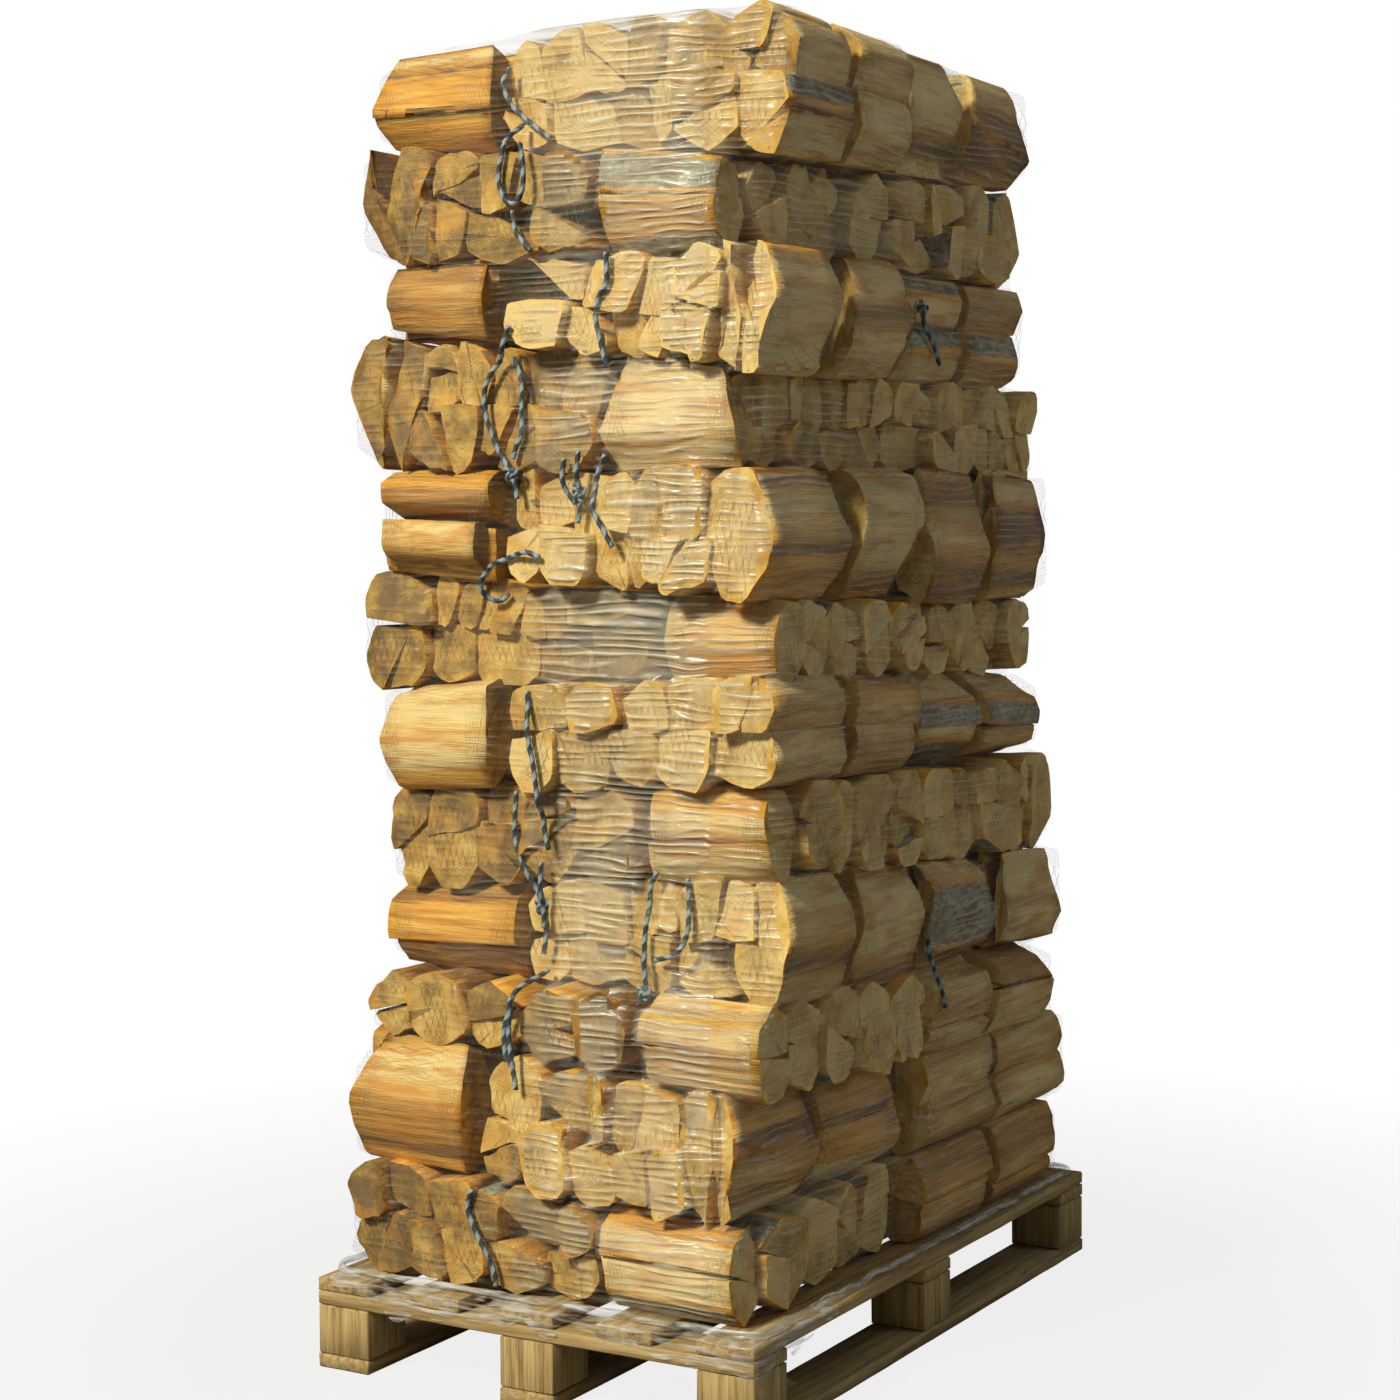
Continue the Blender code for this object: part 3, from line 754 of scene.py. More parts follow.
# A sleeve round one bag's logs, drawn in at both ends and open at its mouth
def addNet(name, points, faces, axis):
    tree = BVHTree.FromPolygons(points, faces)
    order = (1, 0, 2) if axis == 0 else (0, 1, 2)
    across, along, z = np.array(points)[:, order].T
    low, high = across.min(), across.max()
    stations = np.linspace(low, high, net["along"])
    half = 0.8 * (stations[1] - stations[0])
    clear, (search, hollow) = net["clear"], net["sink"]
    boxes = []
    for station in stations:
        near = np.abs(across - station) < half
        a, up = along[near], z[near]
        boxes.append([a.min() - clear, a.max() + clear, up.min() - clear, up.max() + clear])
    boxes = np.array(boxes)
    smooth = eased(boxes)
    boxes[:, ::2] = np.minimum(boxes[:, ::2], smooth[:, ::2])
    boxes[:, 1::2] = np.maximum(boxes[:, 1::2], smooth[:, 1::2])
    shapes = [(stations[0] - clear, boxes[0], net["mouth"], -0.05)]
    shapes += [(station, box, 1.0, station - low) for station, box in zip(stations, boxes)]
    shapes += [(stations[-1] + clear, boxes[-1], net["mouth"], high - low + 0.05)]
    count = net["around"]
    grid = []
    for station, (a0, a1, z0, z1), size, _ in shapes:
        centre = np.array([(a0 + a1) / 2, (z0 + z1) / 2])
        halfSize = np.array([(a1 - a0) / 2, (z1 - z0) / 2])
        for k in range(count):
            angle = 2 * math.pi * (k + 0.5) / count
            ways = (math.cos(angle), math.sin(angle))
            # a box with rounded corners, which then falls in onto the logs
            corner = np.array([math.copysign(abs(way) ** net["squareness"], way) for way in ways])
            at = centre + corner * halfSize * size
            if size == 1.0:
                inward = (centre - at) / np.linalg.norm(centre - at)
                start = np.array((min(max(station, low + 2 * mm), high - 2 * mm), *at))[list(order)]
                hit = meets(tree, start, np.array((0, *inward))[list(order)], search)
                deep = float(np.linalg.norm(np.array(hit) - start)) - clear if hit else hollow
                at = at + inward * max(0.0, deep)
            grid.append((station, *at))
    faces = gridFaces(len(shapes), count)
    made = meshObject(name, np.array(grid)[:, order], faces, netFinish)
    a0, a1, z0, z1 = boxes[0]
    girth = 2 * (a1 - a0 + z1 - z0)
    uvs = []
    for number, face in enumerate(faces):
        for i, corner in zip(face, (0, 1, 1, 0)):
            uvs.append((girth * (number % count + corner) / count, shapes[i // count][3]))
    layer = made.data.uv_layers.new(name="netPlace")
    layer.data.foreach_set("uv", np.array(uvs, dtype=np.float32).ravel())
    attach(made, "root")


logs = {
    "clear": 0.9 * mm,  # each log stands this far in from its share of the solid
    "spacing": 13 * mm,  # between the points round a log
    "rings": (0.0, 0.17, 0.34, 0.52, 0.69, 0.86, 1.0),  # along a log
    "ridge": 1.5 * mm,  # torn fibres
    "sweep": (2.5 * mm, 8 * mm),  # depth of the broad hollows, on a common log and on a large one
    "sliver": (1 * mm, 4 * mm),  # depth of the steps where a strip tore off
    "bow": 1.2 * mm,
    "skew": 5 * mm,  # how far a log's two ends are off its share's line
    "taper": 0.10,
    "turn": 0.13,  # and how far it is turned about its length
    "grown": (1.07, 1.15),  # across and up: logs press together, so each is larger than its share
    "press": 4 * mm,
    "bigEnd": 0.0098,  # square metres: an end larger than this is always two logs
    "midEnd": 0.0060,  # and one larger than this sometimes
    "midChance": 0.30,
    "cut": (0.6, 0.008),  # how far off straight and off the middle a share is cut in two
    "wholeEnd": 0.0115,  # a bag's side log larger than this may be split in two upright
    "wholeCut": (0.25, 0.012),
    "barkRound": (0.018, 0.035),  # radius of a corner under bark, and of a torn one
    "tornRound": (0.003, 0.009),
    "barkChance": 0.55,
    "peeledShare": 0.35,  # of the barked logs, those whose bark has come off down to the orange layer
    "brownPeeled": 0.85,  # and of those in the browner front left column
    "meeting": (5 * mm, 14 * mm),  # from a log's end to the middle, where two bags meet
    "barkLip": 3 * mm,
    "short": (5 * mm, 20 * mm),  # how far in half of the ends lie
    "even": (0, 9 * mm),  # and the other half
    "tilt": 0.08,  # of an end
    "twist": 1.8,  # how far a hollow winds round a log
    "tone": (0.75, 0.80, 1.0),  # how much darker brown wood is, split and sawn; the third isn't read
    # how much browner the logs are made: the front left column darker, the other columns paler, and each
    # bag spread about that
    "browner": {"young": -0.3, "aged": 1.2, "spread": 0.22},
    "facet": (12 * mm, 36 * mm),  # how far a large log's upper split face falls back from its ridge
    "underFacet": (20 * mm, 52 * mm),  # and its lower one
    "wedge": (0.0, 32 * mm),  # and how far its ends fall back
    "bulge": 9 * mm,  # up and down past the bag's solid, so that the layers close on each other
}


# The part of a share between two places along it
def between(share, start, stop):
    length = share["to"] - share["from"]
    at = [(place - share["from"]) / length for place in (start, stop)]
    first, last = (share["first"] * (1 - t) + share["last"] * t for t in at)
    return {**share, "from": start, "to": stop, "first": first, "last": last}


# A share cut in two by a straight line through the middle of its end, at this angle
def cutShare(share, angle, offset):
    outline = share["first"]
    across = np.array([-math.sin(angle), math.cos(angle)])
    side = (outline - outline.mean(axis=0)) @ across - offset
    count = len(outline)
    cuts = [i for i in range(count) if (side[i] > 0) != (side[(i + 1) % count] > 0)]
    if len(cuts) != 2:
        return [share]
    pieces = []
    for begin, end in (cuts, cuts[::-1]):
        corners = []
        for i in (begin, end):
            j = (i + 1) % count
            t = side[i] / (side[i] - side[j])
            corners.append((i, j, float(np.clip(t, 0.08, 0.92))))
        inside = []
        k = (begin + 1) % count
        while True:
            inside.append(k)
            if k == end:
                break
            k = (k + 1) % count
        piece = dict(share)
        for name in ("first", "last"):
            points = share[name]
            rim = [points[i] * (1 - t) + points[j] * t for i, j, t in corners]
            piece[name] = np.array([rim[0], *points[inside], rim[1]])
        pieces.append(piece)
    return pieces


# Large shares hold two or three logs
def splitShares(rng, share):
    area = abs(polygonArea(share["first"]))
    if "whole" in share:
        if area < logs["wholeEnd"] or rng.random() < 0.5:
            return [share]
        slant, offset = logs["wholeCut"]
        return cutShare(share, math.pi / 2 + rng.uniform(-slant, slant), rng.uniform(-offset, offset))
    big = area > logs["bigEnd"]
    if not big and (area < logs["midEnd"] or rng.random() > logs["midChance"]):
        return [share]
    wide, high = np.ptp(share["first"], axis=0)
    slant, offset = logs["cut"]
    angle = (math.pi / 2 if wide > high else 0.0) + rng.uniform(-slant, slant)
    pieces = cutShare(share, angle, rng.uniform(-offset, offset))
    if len(pieces) == 1 or not big:
        return pieces
    return [small for piece in pieces for small in splitShares(rng, piece)]


# Weights that make a log's section from its outline's corners: straight torn sides with nearly
# sharp edges, and the bark side rounded
def sectionWeights(rng, outline, bark):
    count = len(outline)
    lengths = np.linalg.norm(np.roll(outline, -1, axis=0) - outline, axis=1)
    rows, barkness = [], []

    def row(i, j, t, value):
        weights = np.zeros(count)
        weights[i] += 1 - t
        weights[j] += t
        rows.append(weights)
        barkness.append(value)

    for i in range(count):
        before, after = (i - 1) % count, (i + 1) % count
        rounded = bark[before] and bark[i]
        radius = rng.uniform(*logs["barkRound" if rounded else "tornRound"])
        back = min(radius / lengths[before], 0.42)
        ahead = min(radius / lengths[i], 0.42)
        row(i, before, back, float(bark[before]))
        if rounded:
            weights = 0.25 * rows[-1]
            weights[i] += 0.5 + 0.25 * (1 - ahead)
            weights[after] += 0.25 * ahead
            rows.append(weights)
            barkness.append(float(bark[i]))
        row(i, after, ahead, float(bark[i]))
        following = min((radius if bark[i] and bark[after] else 0.006) / lengths[i], 0.42)
        steps = int(round(lengths[i] * (1 - ahead - following) / logs["spacing"]))
        for step in range(1, steps):
            t = ahead + (1 - ahead - following) * step / steps
            row(i, after, t, float(bark[i]))
    barkness = np.array(barkness)
    return np.array(rows), 0.5 * barkness + 0.25 * (np.roll(barkness, 1) + np.roll(barkness, -1))


# A smooth run of random heights round a log
def aroundNoise(rng, count, smooth):
    values = rng.normal(size=count)
    for _ in range(smooth):
        values = easedRound(values)
    return values / (np.std(values) + 1e-6)


def outwardOf(corners):
    edges = np.roll(corners, -1, axis=0) - corners
    outward = np.stack([edges[:, 1], -edges[:, 0]], axis=1)
    return outward / np.linalg.norm(outward, axis=1, keepdims=True)


def holdsPoint(outline, point):
    x, y = outline[:, 0], outline[:, 1]
    nextX, nextY = np.roll(x, -1), np.roll(y, -1)
    crosses = (y > point[1]) != (nextY > point[1])
    at = (nextX - x) * (point[1] - y) / (nextY - y + 1e-12) + x
    return bool(np.sum(crosses & (point[0] < at)) % 2)


# Marks the sides of each share that no other log of the bag lies against
def markOutside(bag):
    for share in bag:
        outline, others = share["first"], [other["first"] for other in bag if other is not share]
        middles = 0.5 * (outline + np.roll(outline, -1, axis=0)) + 6 * mm * outwardOf(outline)
        share["outside"] = np.array([not any(holdsPoint(other, at) for other in others) for at in middles])


# Points past a share's outside are brought back to it, and those that press into the next log
# by more than a little too
def heldInside(section, corners, outside, bulge):
    outward = outwardOf(corners)
    past = np.where(np.abs(outward[:, 1]) > 0.6, bulge, -logs["clear"])
    allowed = np.where(outside, past, logs["press"])
    for _ in range(2):
        over = np.einsum("ped,ed->pe", section[:, None, :] - corners[None, :, :], outward) - allowed
        worst = np.argmax(over, axis=1)
        excess = np.clip(over[np.arange(len(section)), worst], 0, None)
        section = section - outward[worst] * excess[:, None]
    return section


# A log's faces and their kinds, 0 on its sides and 1 on its two ends: a lip and a fan round the heart
def logFaces(rows, sides):
    faces = gridFaces(rows, sides)
    kinds = [0] * len(faces)
    for rim, base in ((0, rows * sides), ((rows - 1) * sides, rows * sides + sides + 1)):
        for i in range(sides):
            j = (i + 1) % sides
            for face in ((rim + i, rim + j, base + j, base + i), (base + i, base + j, base + sides)):
                faces.append(face if rim else face[::-1])
                kinds.append(1)
    return faces, kinds


# The points, faces and attributes of one log
def logMesh(rng, share, axis, browner, bulge):
    outline, whole = share["first"], "whole" in share
    count = len(outline)
    bark = [0.0] * count
    if rng.random() < logs["barkChance"] * (1.1 if whole else 1):
        seen = np.flatnonzero(share["outside"])
        first = int(rng.choice(seen)) if len(seen) and rng.random() < 0.75 else int(rng.integers(count))
        cover = 0.5 if rng.random() < logs["brownPeeled" if browner > 0.5 else "peeledShare"] else 1.0
        for i in range(first, first + int(rng.integers(1, max(3, count // 2)))):
            bark[i % count] = cover
    weights, barkness = sectionWeights(rng, outline, bark)
    sides = len(weights)
    short = [rng.uniform(*(logs["short"] if rng.random() < 0.5 else logs["even"])) for _ in (0, 1)]
    start, stop = share["from"] + short[0], share["to"] - short[1]
    rough = np.where(barkness > 0.2, 0.35, 1.0)
    ridge = aroundNoise(rng, sides, 0) * 0.6 + aroundNoise(rng, sides, 2) * 0.6
    ridge *= 1.8 if whole else 1
    twist = aroundNoise(rng, sides, 1)
    depth = np.zeros(sides)
    sweep = logs["sweep"][1 if whole else 0] * rng.uniform(0.5, 1.0)
    lobes, phase, drift = int(rng.integers(2, 5)), rng.uniform(0, 6.3), rng.normal() * logs["twist"]
    for _ in range(int(rng.integers(1, 4)) * (2 if whole else 1)):
        at, width = int(rng.integers(sides)), int(rng.integers(1, 5))
        for i in range(at, at + width):
            depth[i % sides] -= rng.uniform(*logs["sliver"]) * rough[i % sides]
    bow = rng.normal(size=2) * logs["bow"]
    tilts = rng.normal(size=(2, 2)) * logs["tilt"]
    skew = rng.normal(size=2) * logs["skew"]
    taper = rng.uniform(-1, 1) * logs["taper"]
    turn = rng.normal() * logs["turn"]
    turned = np.array([[math.cos(turn), math.sin(turn)], [-math.sin(turn), math.cos(turn)]])
    places = np.array(logs["rings"])
    places[1:-1] += rng.uniform(-0.05, 0.05, len(places) - 2)
    middle = weights.mean(axis=0) @ outline
    side = math.copysign(1, middle[0])
    ridgeAt = rng.uniform(-0.55, 0.35, 2)
    facets = rng.uniform(*logs["facet"]), rng.uniform(*logs["underFacet"])
    wedge = rng.uniform(*logs["wedge"], (2, 2))
    wave = lobes * 2 * math.pi * np.arange(sides) / sides + phase
    torn = logs["ridge"] * rough
    rings = []
    for t in places:
        corners = outline * (1 - t) + share["last"] * t
        section = weights @ corners
        tangent = np.roll(section, -1, axis=0) - np.roll(section, 1, axis=0)
        outward = np.stack([tangent[:, 1], -tangent[:, 0]], axis=1)
        outward /= np.linalg.norm(outward, axis=1, keepdims=True) + 1e-9
        lift = -logs["clear"] + depth - 0.5 * logs["ridge"] * rough
        lift = lift + torn * (0.55 * ridge + 0.5 * twist * (t - 0.5))
        lift = lift + 0.25 * logs["ridge"] * rough * rng.normal(size=sides)
        lift = lift - sweep * (0.5 + 0.5 * np.sin(wave + drift * t))
        section = section + outward * np.minimum(lift, 0.6 * mm)[:, None]
        heart = section.mean(axis=0)
        grown = np.array(logs["grown"]) + taper * (t - 0.5)
        section = heart + (section - heart) @ turned * grown + skew * (t - 0.5)
        section = heldInside(section + bow * (4 * t * (1 - t) - 0.6), corners, share["outside"], bulge)
        end = 0 if t < 0.5 else 1
        near = max(0.0, 1 - 8 * (1 - t if end else t))
        along = start + (stop - start) * t + near * (section - section.mean(axis=0)) @ tilts[end]
        if whole:
            # two broad split faces that meet in a ridge, and ends that run out to it
            half = 0.5 * np.ptp(section, axis=0)
            ridgeZ = heart[1] + (ridgeAt[0] * (1 - t) + ridgeAt[1] * t) * half[1]
            fall = (section[:, 1] - ridgeZ) / half[1]
            out = np.clip(side * (section[:, 0] - heart[0]) / half[0], 0, 1)
            section[:, 0] -= side * out * np.abs(fall) ** 1.05 * np.where(fall > 0, *facets)
            along += near * np.where(fall > 0, *wedge[end]) * np.abs(fall) * (-1 if end else 1)
        rings.append(np.column_stack([section, along]))
    points = list(rings)
    for ring in (rings[0], rings[-1]):
        heart = ring.mean(axis=0)
        reach = np.linalg.norm(ring[:, :2] - heart[:2], axis=1, keepdims=True)
        points.append(ring + (heart - ring) * np.minimum(logs["barkLip"] / (reach + 1e-9), 0.4))
        points.append(heart[None, :])
    points = np.concatenate(points)
    faces, kinds = logFaces(len(rings), sides)
    # the heart of the tree lies away from the bark
    if any(bark):
        away = middle - (weights @ outline)[barkness > 0.2].mean(axis=0)
    else:
        away = rng.normal(size=2)
    away = away / (np.linalg.norm(away) + 1e-9)
    pith = middle + away * math.sqrt(abs(polygonArea(outline))) * rng.uniform(0.35, 0.75)
    wood = points - (*pith, -rng.uniform(0, 40))
    cover = np.zeros(len(points))
    rim = len(rings) * sides
    cover[:rim] = np.tile(barkness, len(rings))
    tone = np.tile(rng.random(3) - browner * np.array(logs["tone"]), (len(points), 1))
    bands = (1.0 if whole else 0.35) * aroundNoise(rng, sides, 3)
    tone[:rim, 0] += np.tile(bands, len(rings))
    order = (2, 0, 1) if axis == 0 else (0, 2, 1)
    if axis == 1:
        faces = [face[::-1] for face in faces]
    return points[:, order], faces, kinds, wood, cover, tone


splitWood, sawnWood = splitAlder(), sawnAlder()


# Each bag of a bundle as the shares of its logs
def bagShares(rng, node):
    axis, shares = bundles[node]
    if axis == 0:
        return [[small for share in shares for small in splitShares(rng, share)]]
    low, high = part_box(node)
    middle = 0.5 * (low.y + high.y)
    bags = []
    for side in (-1, 1):
        bag = []
        for share in shares:
            gap = rng.uniform(*logs["meeting"])
            span = (share["from"], middle - gap) if side < 0 else (middle + gap, share["to"])
            bag += splitShares(rng, between(share, *span))
        bags.append(bag)
    return bags


woodMeshes = []


def fillBags():
    total = 0
    for number, node in enumerate(bagNodes):
        rng = np.random.default_rng(100 + number)
        axis = bundles[node][0]
        bulge = 0.0 if node[:6] in ("bag_01", "bag_12") else logs["bulge"]
        # the front left column's wood is given a darker brown tone, and the other columns a paler one
        age = logs["browner"]["aged" if node.endswith("front_left") else "young"]
        parts = []
        for half, bag in enumerate(bagShares(rng, node)):
            markOutside(bag)
            browner = rng.normal() * logs["browner"]["spread"] + age
            bagParts = [logMesh(rng, share, axis, browner, bulge) for share in bag]
            parts += bagParts
            netName = node.replace("bag_", "net_") + ("" if axis == 0 else f"_{half + 1}")
            addNet(netName, *joined([part[:2] for part in bagParts]), axis)
        total += len(parts)
        points, faces = joined([part[:2] for part in parts])
        woodMeshes.append((points, faces))
        kinds = [kind for part in parts for kind in part[2]]
        made = meshObject(
            node.replace("bag_", "firewood_"), points, faces, splitWood, sawnWood, kinds=kinds
        )
        for column, attribute in ((3, "woodPlace"), (4, "barkness"), (5, "logTone")):
            giveAttribute(made, attribute, np.concatenate([part[column] for part in parts]))
        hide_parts(node)
        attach(made, "root")
    print("logs:", total)


fillBags()

film = {
    "step": 15 * mm,  # between its points round the stack
    "rise": 10 * mm,  # and up it
    "clear": 1.2 * mm,
    "bridgeAlong": 60 * mm,  # it spans gaps up to twice this wide round the stack
    "bridgeUp": 12 * mm,
    "inset": 0.20,  # the rays start out from a rectangle this far inside the stack
    "foot": 8 * mm,  # above the deck
    "fold": (12 * mm, 30 * mm, 52 * mm),  # how far its upper edge lies in on the top
    "edgeIn": (45 * mm, 80 * mm, 115 * mm, 150 * mm),  # where the stack's height at its edge is felt
    "deepest": 80 * mm,  # inside that rectangle
    "touch": 25 * mm,  # it looks hazy where it touches wood, and clearer this far off it
    "pleat": 13 * mm,  # between the fine pleats that the pull leaves
    "streak": 60 * mm,
    "overStrings": 34 * mm,  # it clings clear over the drawstrings, and turns hazy this far from them
    "frontTurns": (-0.12, 0.16),  # the last turns begin here along the front and thicken over this width
    "sideTurns": (0.55, 0.20),  # and they end here along the side, thinning over this width
    "colour": "#E2DCC2",
    "thin": 0.015,  # how opaque one turn is; then many turns, clouds on them, and the pleats' crests, whose whitish paint is partly the film's own whitening and partly a painted highlight
    "hazy": 0.20,
    "cloudy": 0.12,
    "crests": 0.46,
}


# Cast polyethylene film pulled tight: nearly clear, with hard glints along its pleats, whose crests are
# painted whitish, partly the film's own whitening and partly a painted highlight of the sky on them
def stretchFilm():
    made, tree, shader = newMaterial("polyethylene_film_stretched")
    place = add(tree, "Attribute", out="Vector", attribute_name="filmPlace")
    scales = (1 / film["streak"], 1 / film["pleat"], 1.0)
    at = add(tree, "VectorMath", [place, scales], operation="MULTIPLY")
    wander = add(tree, "TexNoise", {"Vector": at, "Scale": 0.35, "Detail": 1.0})
    up = add(tree, "SeparateXYZ", [at], out=1)
    row = add(tree, "Math", [wander, 2.2, up], operation="MULTIPLY_ADD")
    turn = add(tree, "Math", [row, 2 * math.pi], operation="MULTIPLY")
    wave = add(tree, "Math", [turn], operation="SINE")
    pulled = add(tree, "VectorMath", [at, (0.8, 0.45, 1.0)], operation="MULTIPLY")
    breaks = add(tree, "TexNoise", {"Vector": pulled, "Scale": 1.0, "Detail": 2.0})
    gathered = add(tree, "MapRange", {"Value": breaks, "From Min": 0.38, "From Max": 0.56})
    pleats = add(tree, "Math", [wave, gathered], operation="MULTIPLY")
    patches = add(tree, "TexNoise", {"Vector": place, "Scale": 3.4, "Detail": 2.0})
    patch = add(tree, "MapRange", {"Value": patches, "From Min": 0.28, "From Max": 0.52})
    crest = add(tree, "MapRange", {"Value": pleats, "From Min": -0.15, "From Max": 0.85})
    # cloudy where many turns lie on each other and have not stuck flat
    clouds = add(tree, "TexNoise", {"Vector": place, "Scale": 4.6, "Detail": 3.0, "Roughness": 0.6})
    cloud = add(tree, "MapRange", {"Value": clouds, "From Min": 0.52, "From Max": 0.68})
    # where the last turns overlap, round the front's right part and the corner, it is thicker
    turns = add(tree, "SeparateXYZ", [place], out=2)
    overlap = add(tree, "MapRange", {"Value": turns, "To Min": 0.05})
    patch = add(tree, "Math", [patch, overlap], operation="MULTIPLY")
    # the crests' whitish paint is partly the film's own whitening and partly a painted highlight, mostly
    # where the last turns lie
    streak = add(tree, "Math", [crest, patch], operation="MULTIPLY")
    haze = [cloud, film["cloudy"], film["hazy"]]
    haze = [turns, add(tree, "Math", haze, operation="MULTIPLY_ADD"), film["thin"]]
    alpha = [streak, film["crests"], add(tree, "Math", haze, operation="MULTIPLY_ADD")]
    alpha = add(tree, "Math", alpha, operation="MULTIPLY_ADD")
    bump = add(tree, "Bump", {"Height": pleats, "Strength": 1.0, "Distance": 2 * mm})
    feed(tree, shader, {"Base Color": linear(film["colour"]), "Roughness": 0.3, "IOR": 1.52})
    feed(tree, shader, {"Specular IOR Level": 1.0, "Normal": bump, "Alpha": alpha})
    return made


# Anchor points on the inner rectangle and the directions out from them, a step apart round the stack
def filmRound(low, high):
    inset, step = film["inset"], film["step"]
    x0, y0, x1, y1 = low.x + inset, low.y + inset, high.x - inset, high.y - inset
    corners = ((x0, y1), (x0, y0), (x1, y0), (x1, y1))
    anchors, angles, steps = [], [], []
    for i, (x, y) in enumerate(corners):
        start, quarter = math.radians(90 + 90 * i), math.pi / 2
        arc = max(4, round(inset * quarter / step))
        anchors += [(x, y)] * arc
        angles += [start + quarter * k / arc for k in range(arc)]
        steps += [inset * quarter / arc] * arc
        nextX, nextY = corners[(i + 1) % 4]
        length = math.hypot(nextX - x, nextY - y)
        count = round(length / step)
        anchors += [(x + (nextX - x) * k / count, y + (nextY - y) * k / count) for k in range(count)]
        angles += [start + quarter] * count
        steps += [length / count] * count
    outward = [(math.cos(angle), math.sin(angle)) for angle in angles]
    return np.array(anchors), np.array(outward), np.cumsum([0.0, *steps])


# Largest or smallest value near each one, round the stack and up it
def spreadRound(values, reach, pick):
    return pick([np.roll(values, k, axis=1) for k in range(-reach, reach + 1)], axis=0)


def spreadUp(values, reach, pick):
    padded = np.pad(values, ((reach, reach), (0, 0)), mode="edge")
    rows = len(values)
    return pick([padded[k : k + rows] for k in range(2 * reach + 1)], axis=0)


# The height of the stack's edge all the way round, a little way in
def edgeHeights(tree, anchors, outward, above):
    tops = np.zeros(len(anchors))
    for c, (anchor, out) in enumerate(zip(anchors, outward)):
        for inward in film["edgeIn"]:
            x, y = anchor + out * (film["inset"] - inward)
            hit = meets(tree, (x, y, above), (0, 0, -1), 0.4)
            tops[c] = max(tops[c], hit.z if hit else 0.0)
    tops[tops == 0] = tops[tops > 0].min()
    tops = spreadRound(tops[None, :], 3, np.max)[0]
    for _ in range(6):
        tops = easedRound(tops)
    return tops


def addFilm():
    boxes = [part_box(name) for name in bagNodes]
    low = Vector([min(box[0][i] for box in boxes) for i in range(3)])
    high = Vector([max(box[1][i] for box in boxes) for i in range(3)])
    tree = BVHTree.FromPolygons(*joined(woodMeshes + stringMeshes))
    anchors, outward, run = filmRound(low, high)
    columns = len(anchors)
    tops = edgeHeights(tree, anchors, outward, high.z + 0.2)
    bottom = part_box("deck_board_1")[1].z + film["foot"]
    rows = int(round((high.z - bottom) / film["rise"])) + 1
    heights = bottom + (tops - 6 * mm - bottom)[None, :] * np.linspace(0, 1, rows)[:, None]
    # how far out the stack reaches at each place, and the film's pull over its hollows
    away = np.full((rows, columns), np.nan)
    far = film["inset"] + 0.3
    for r in range(rows):
        for c in range(columns):
            (x, y), (dx, dy) = anchors[c], outward[c]
            hit = meets(tree, (x + dx * far, y + dy * far, heights[r, c]), (-dx, -dy, 0), far)
            if hit:
                away[r, c] = (hit.x - x) * dx + (hit.y - y) * dy
    away = np.where(np.isnan(away), np.nanmin(away, axis=1, keepdims=True), away)
    away = np.maximum(away, film["inset"] - film["deepest"])
    along, up = round(film["bridgeAlong"] / film["step"]), round(film["bridgeUp"] / film["rise"])
    closed = spreadRound(spreadRound(away, along, np.max), along, np.min)
    closed = spreadUp(spreadUp(closed, up, np.max), up, np.min)
    smooth = closed
    for _ in range(2):
        smooth = eased(easedRound(smooth, 1))
    touching = np.clip(1 - (smooth - away) / film["touch"], 0.1, 1)
    away = np.maximum(np.minimum(smooth, closed + 1.5 * mm), away) + film["clear"]
    grid = [np.dstack([anchors + outward * away[..., None], heights])]
    for inward in film["fold"]:
        edge = anchors + outward * (away[-1] - inward)[:, None]
        z = []
        for (x, y), top in zip(edge, tops):
            hit = meets(tree, (x, y, high.z + 0.2), (0, 0, -1), 0.4)
            z.append(max(hit.z + 2 * mm, top - 25 * mm) if hit else top - 12 * mm)
        grid.append(np.column_stack([edge, z])[None])
    grid = np.concatenate(grid)
    # the film's two upright ends meet at the back
    grid, touching = (np.concatenate([each, each[:, :1]], axis=1) for each in (grid, touching))
    outward = np.concatenate([outward, outward[:1]])
    rows, columns = grid.shape[:2]
    points = grid.reshape(-1, 3)
    made = meshObject("stretch_film", points, gridFaces(rows, columns, False), stretchFilm())
    # the last turns end on the front, a third of the way in from its right corner
    facing = np.tile(outward, (rows, 1))
    (begin, over), (stop, fade) = film["frontTurns"], film["sideTurns"]
    last = np.where(facing[:, 1] < -0.5, np.clip((points[:, 0] - begin) / over, 0.16, 1), 0.22)
    last = np.where(facing[:, 0] > 0.5, np.clip((stop - points[:, 1]) / fade, 0.3, 0.6), last)
    last[: touching.size] *= touching.ravel()
    beads = joined(stringMeshes)[0]
    strung = KDTree(len(beads))
    for i, bead in enumerate(beads):
        strung.insert(bead, i)
    strung.balance()
    apart = np.array([strung.find(point)[2] for point in points])
    last *= np.clip(apart / film["overStrings"], 0.2, 1)
    giveAttribute(made, "filmPlace", np.column_stack([np.tile(run, rows), points[:, 2], last]))
    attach(made, "root")
    print("film:", rows, "by", columns)


addFilm()

foot = {
    "radius": 7 * mm,
    "corner": 30 * mm,
    "step": 9 * mm,
    "sides": 12,
    "core": 0.78,  # share of its radius that lies inside the folds
    "fold": 1.9 * mm,  # depth of the folds that run along the gathered edge
    "wind": 40,  # how far the folds turn round it, in radians a metre
    "lift": 1.6 * mm,  # where it stands off the deck
    "tones": [(0.35, "#8E9188"), (0.60, "#D5D6CE")],
}


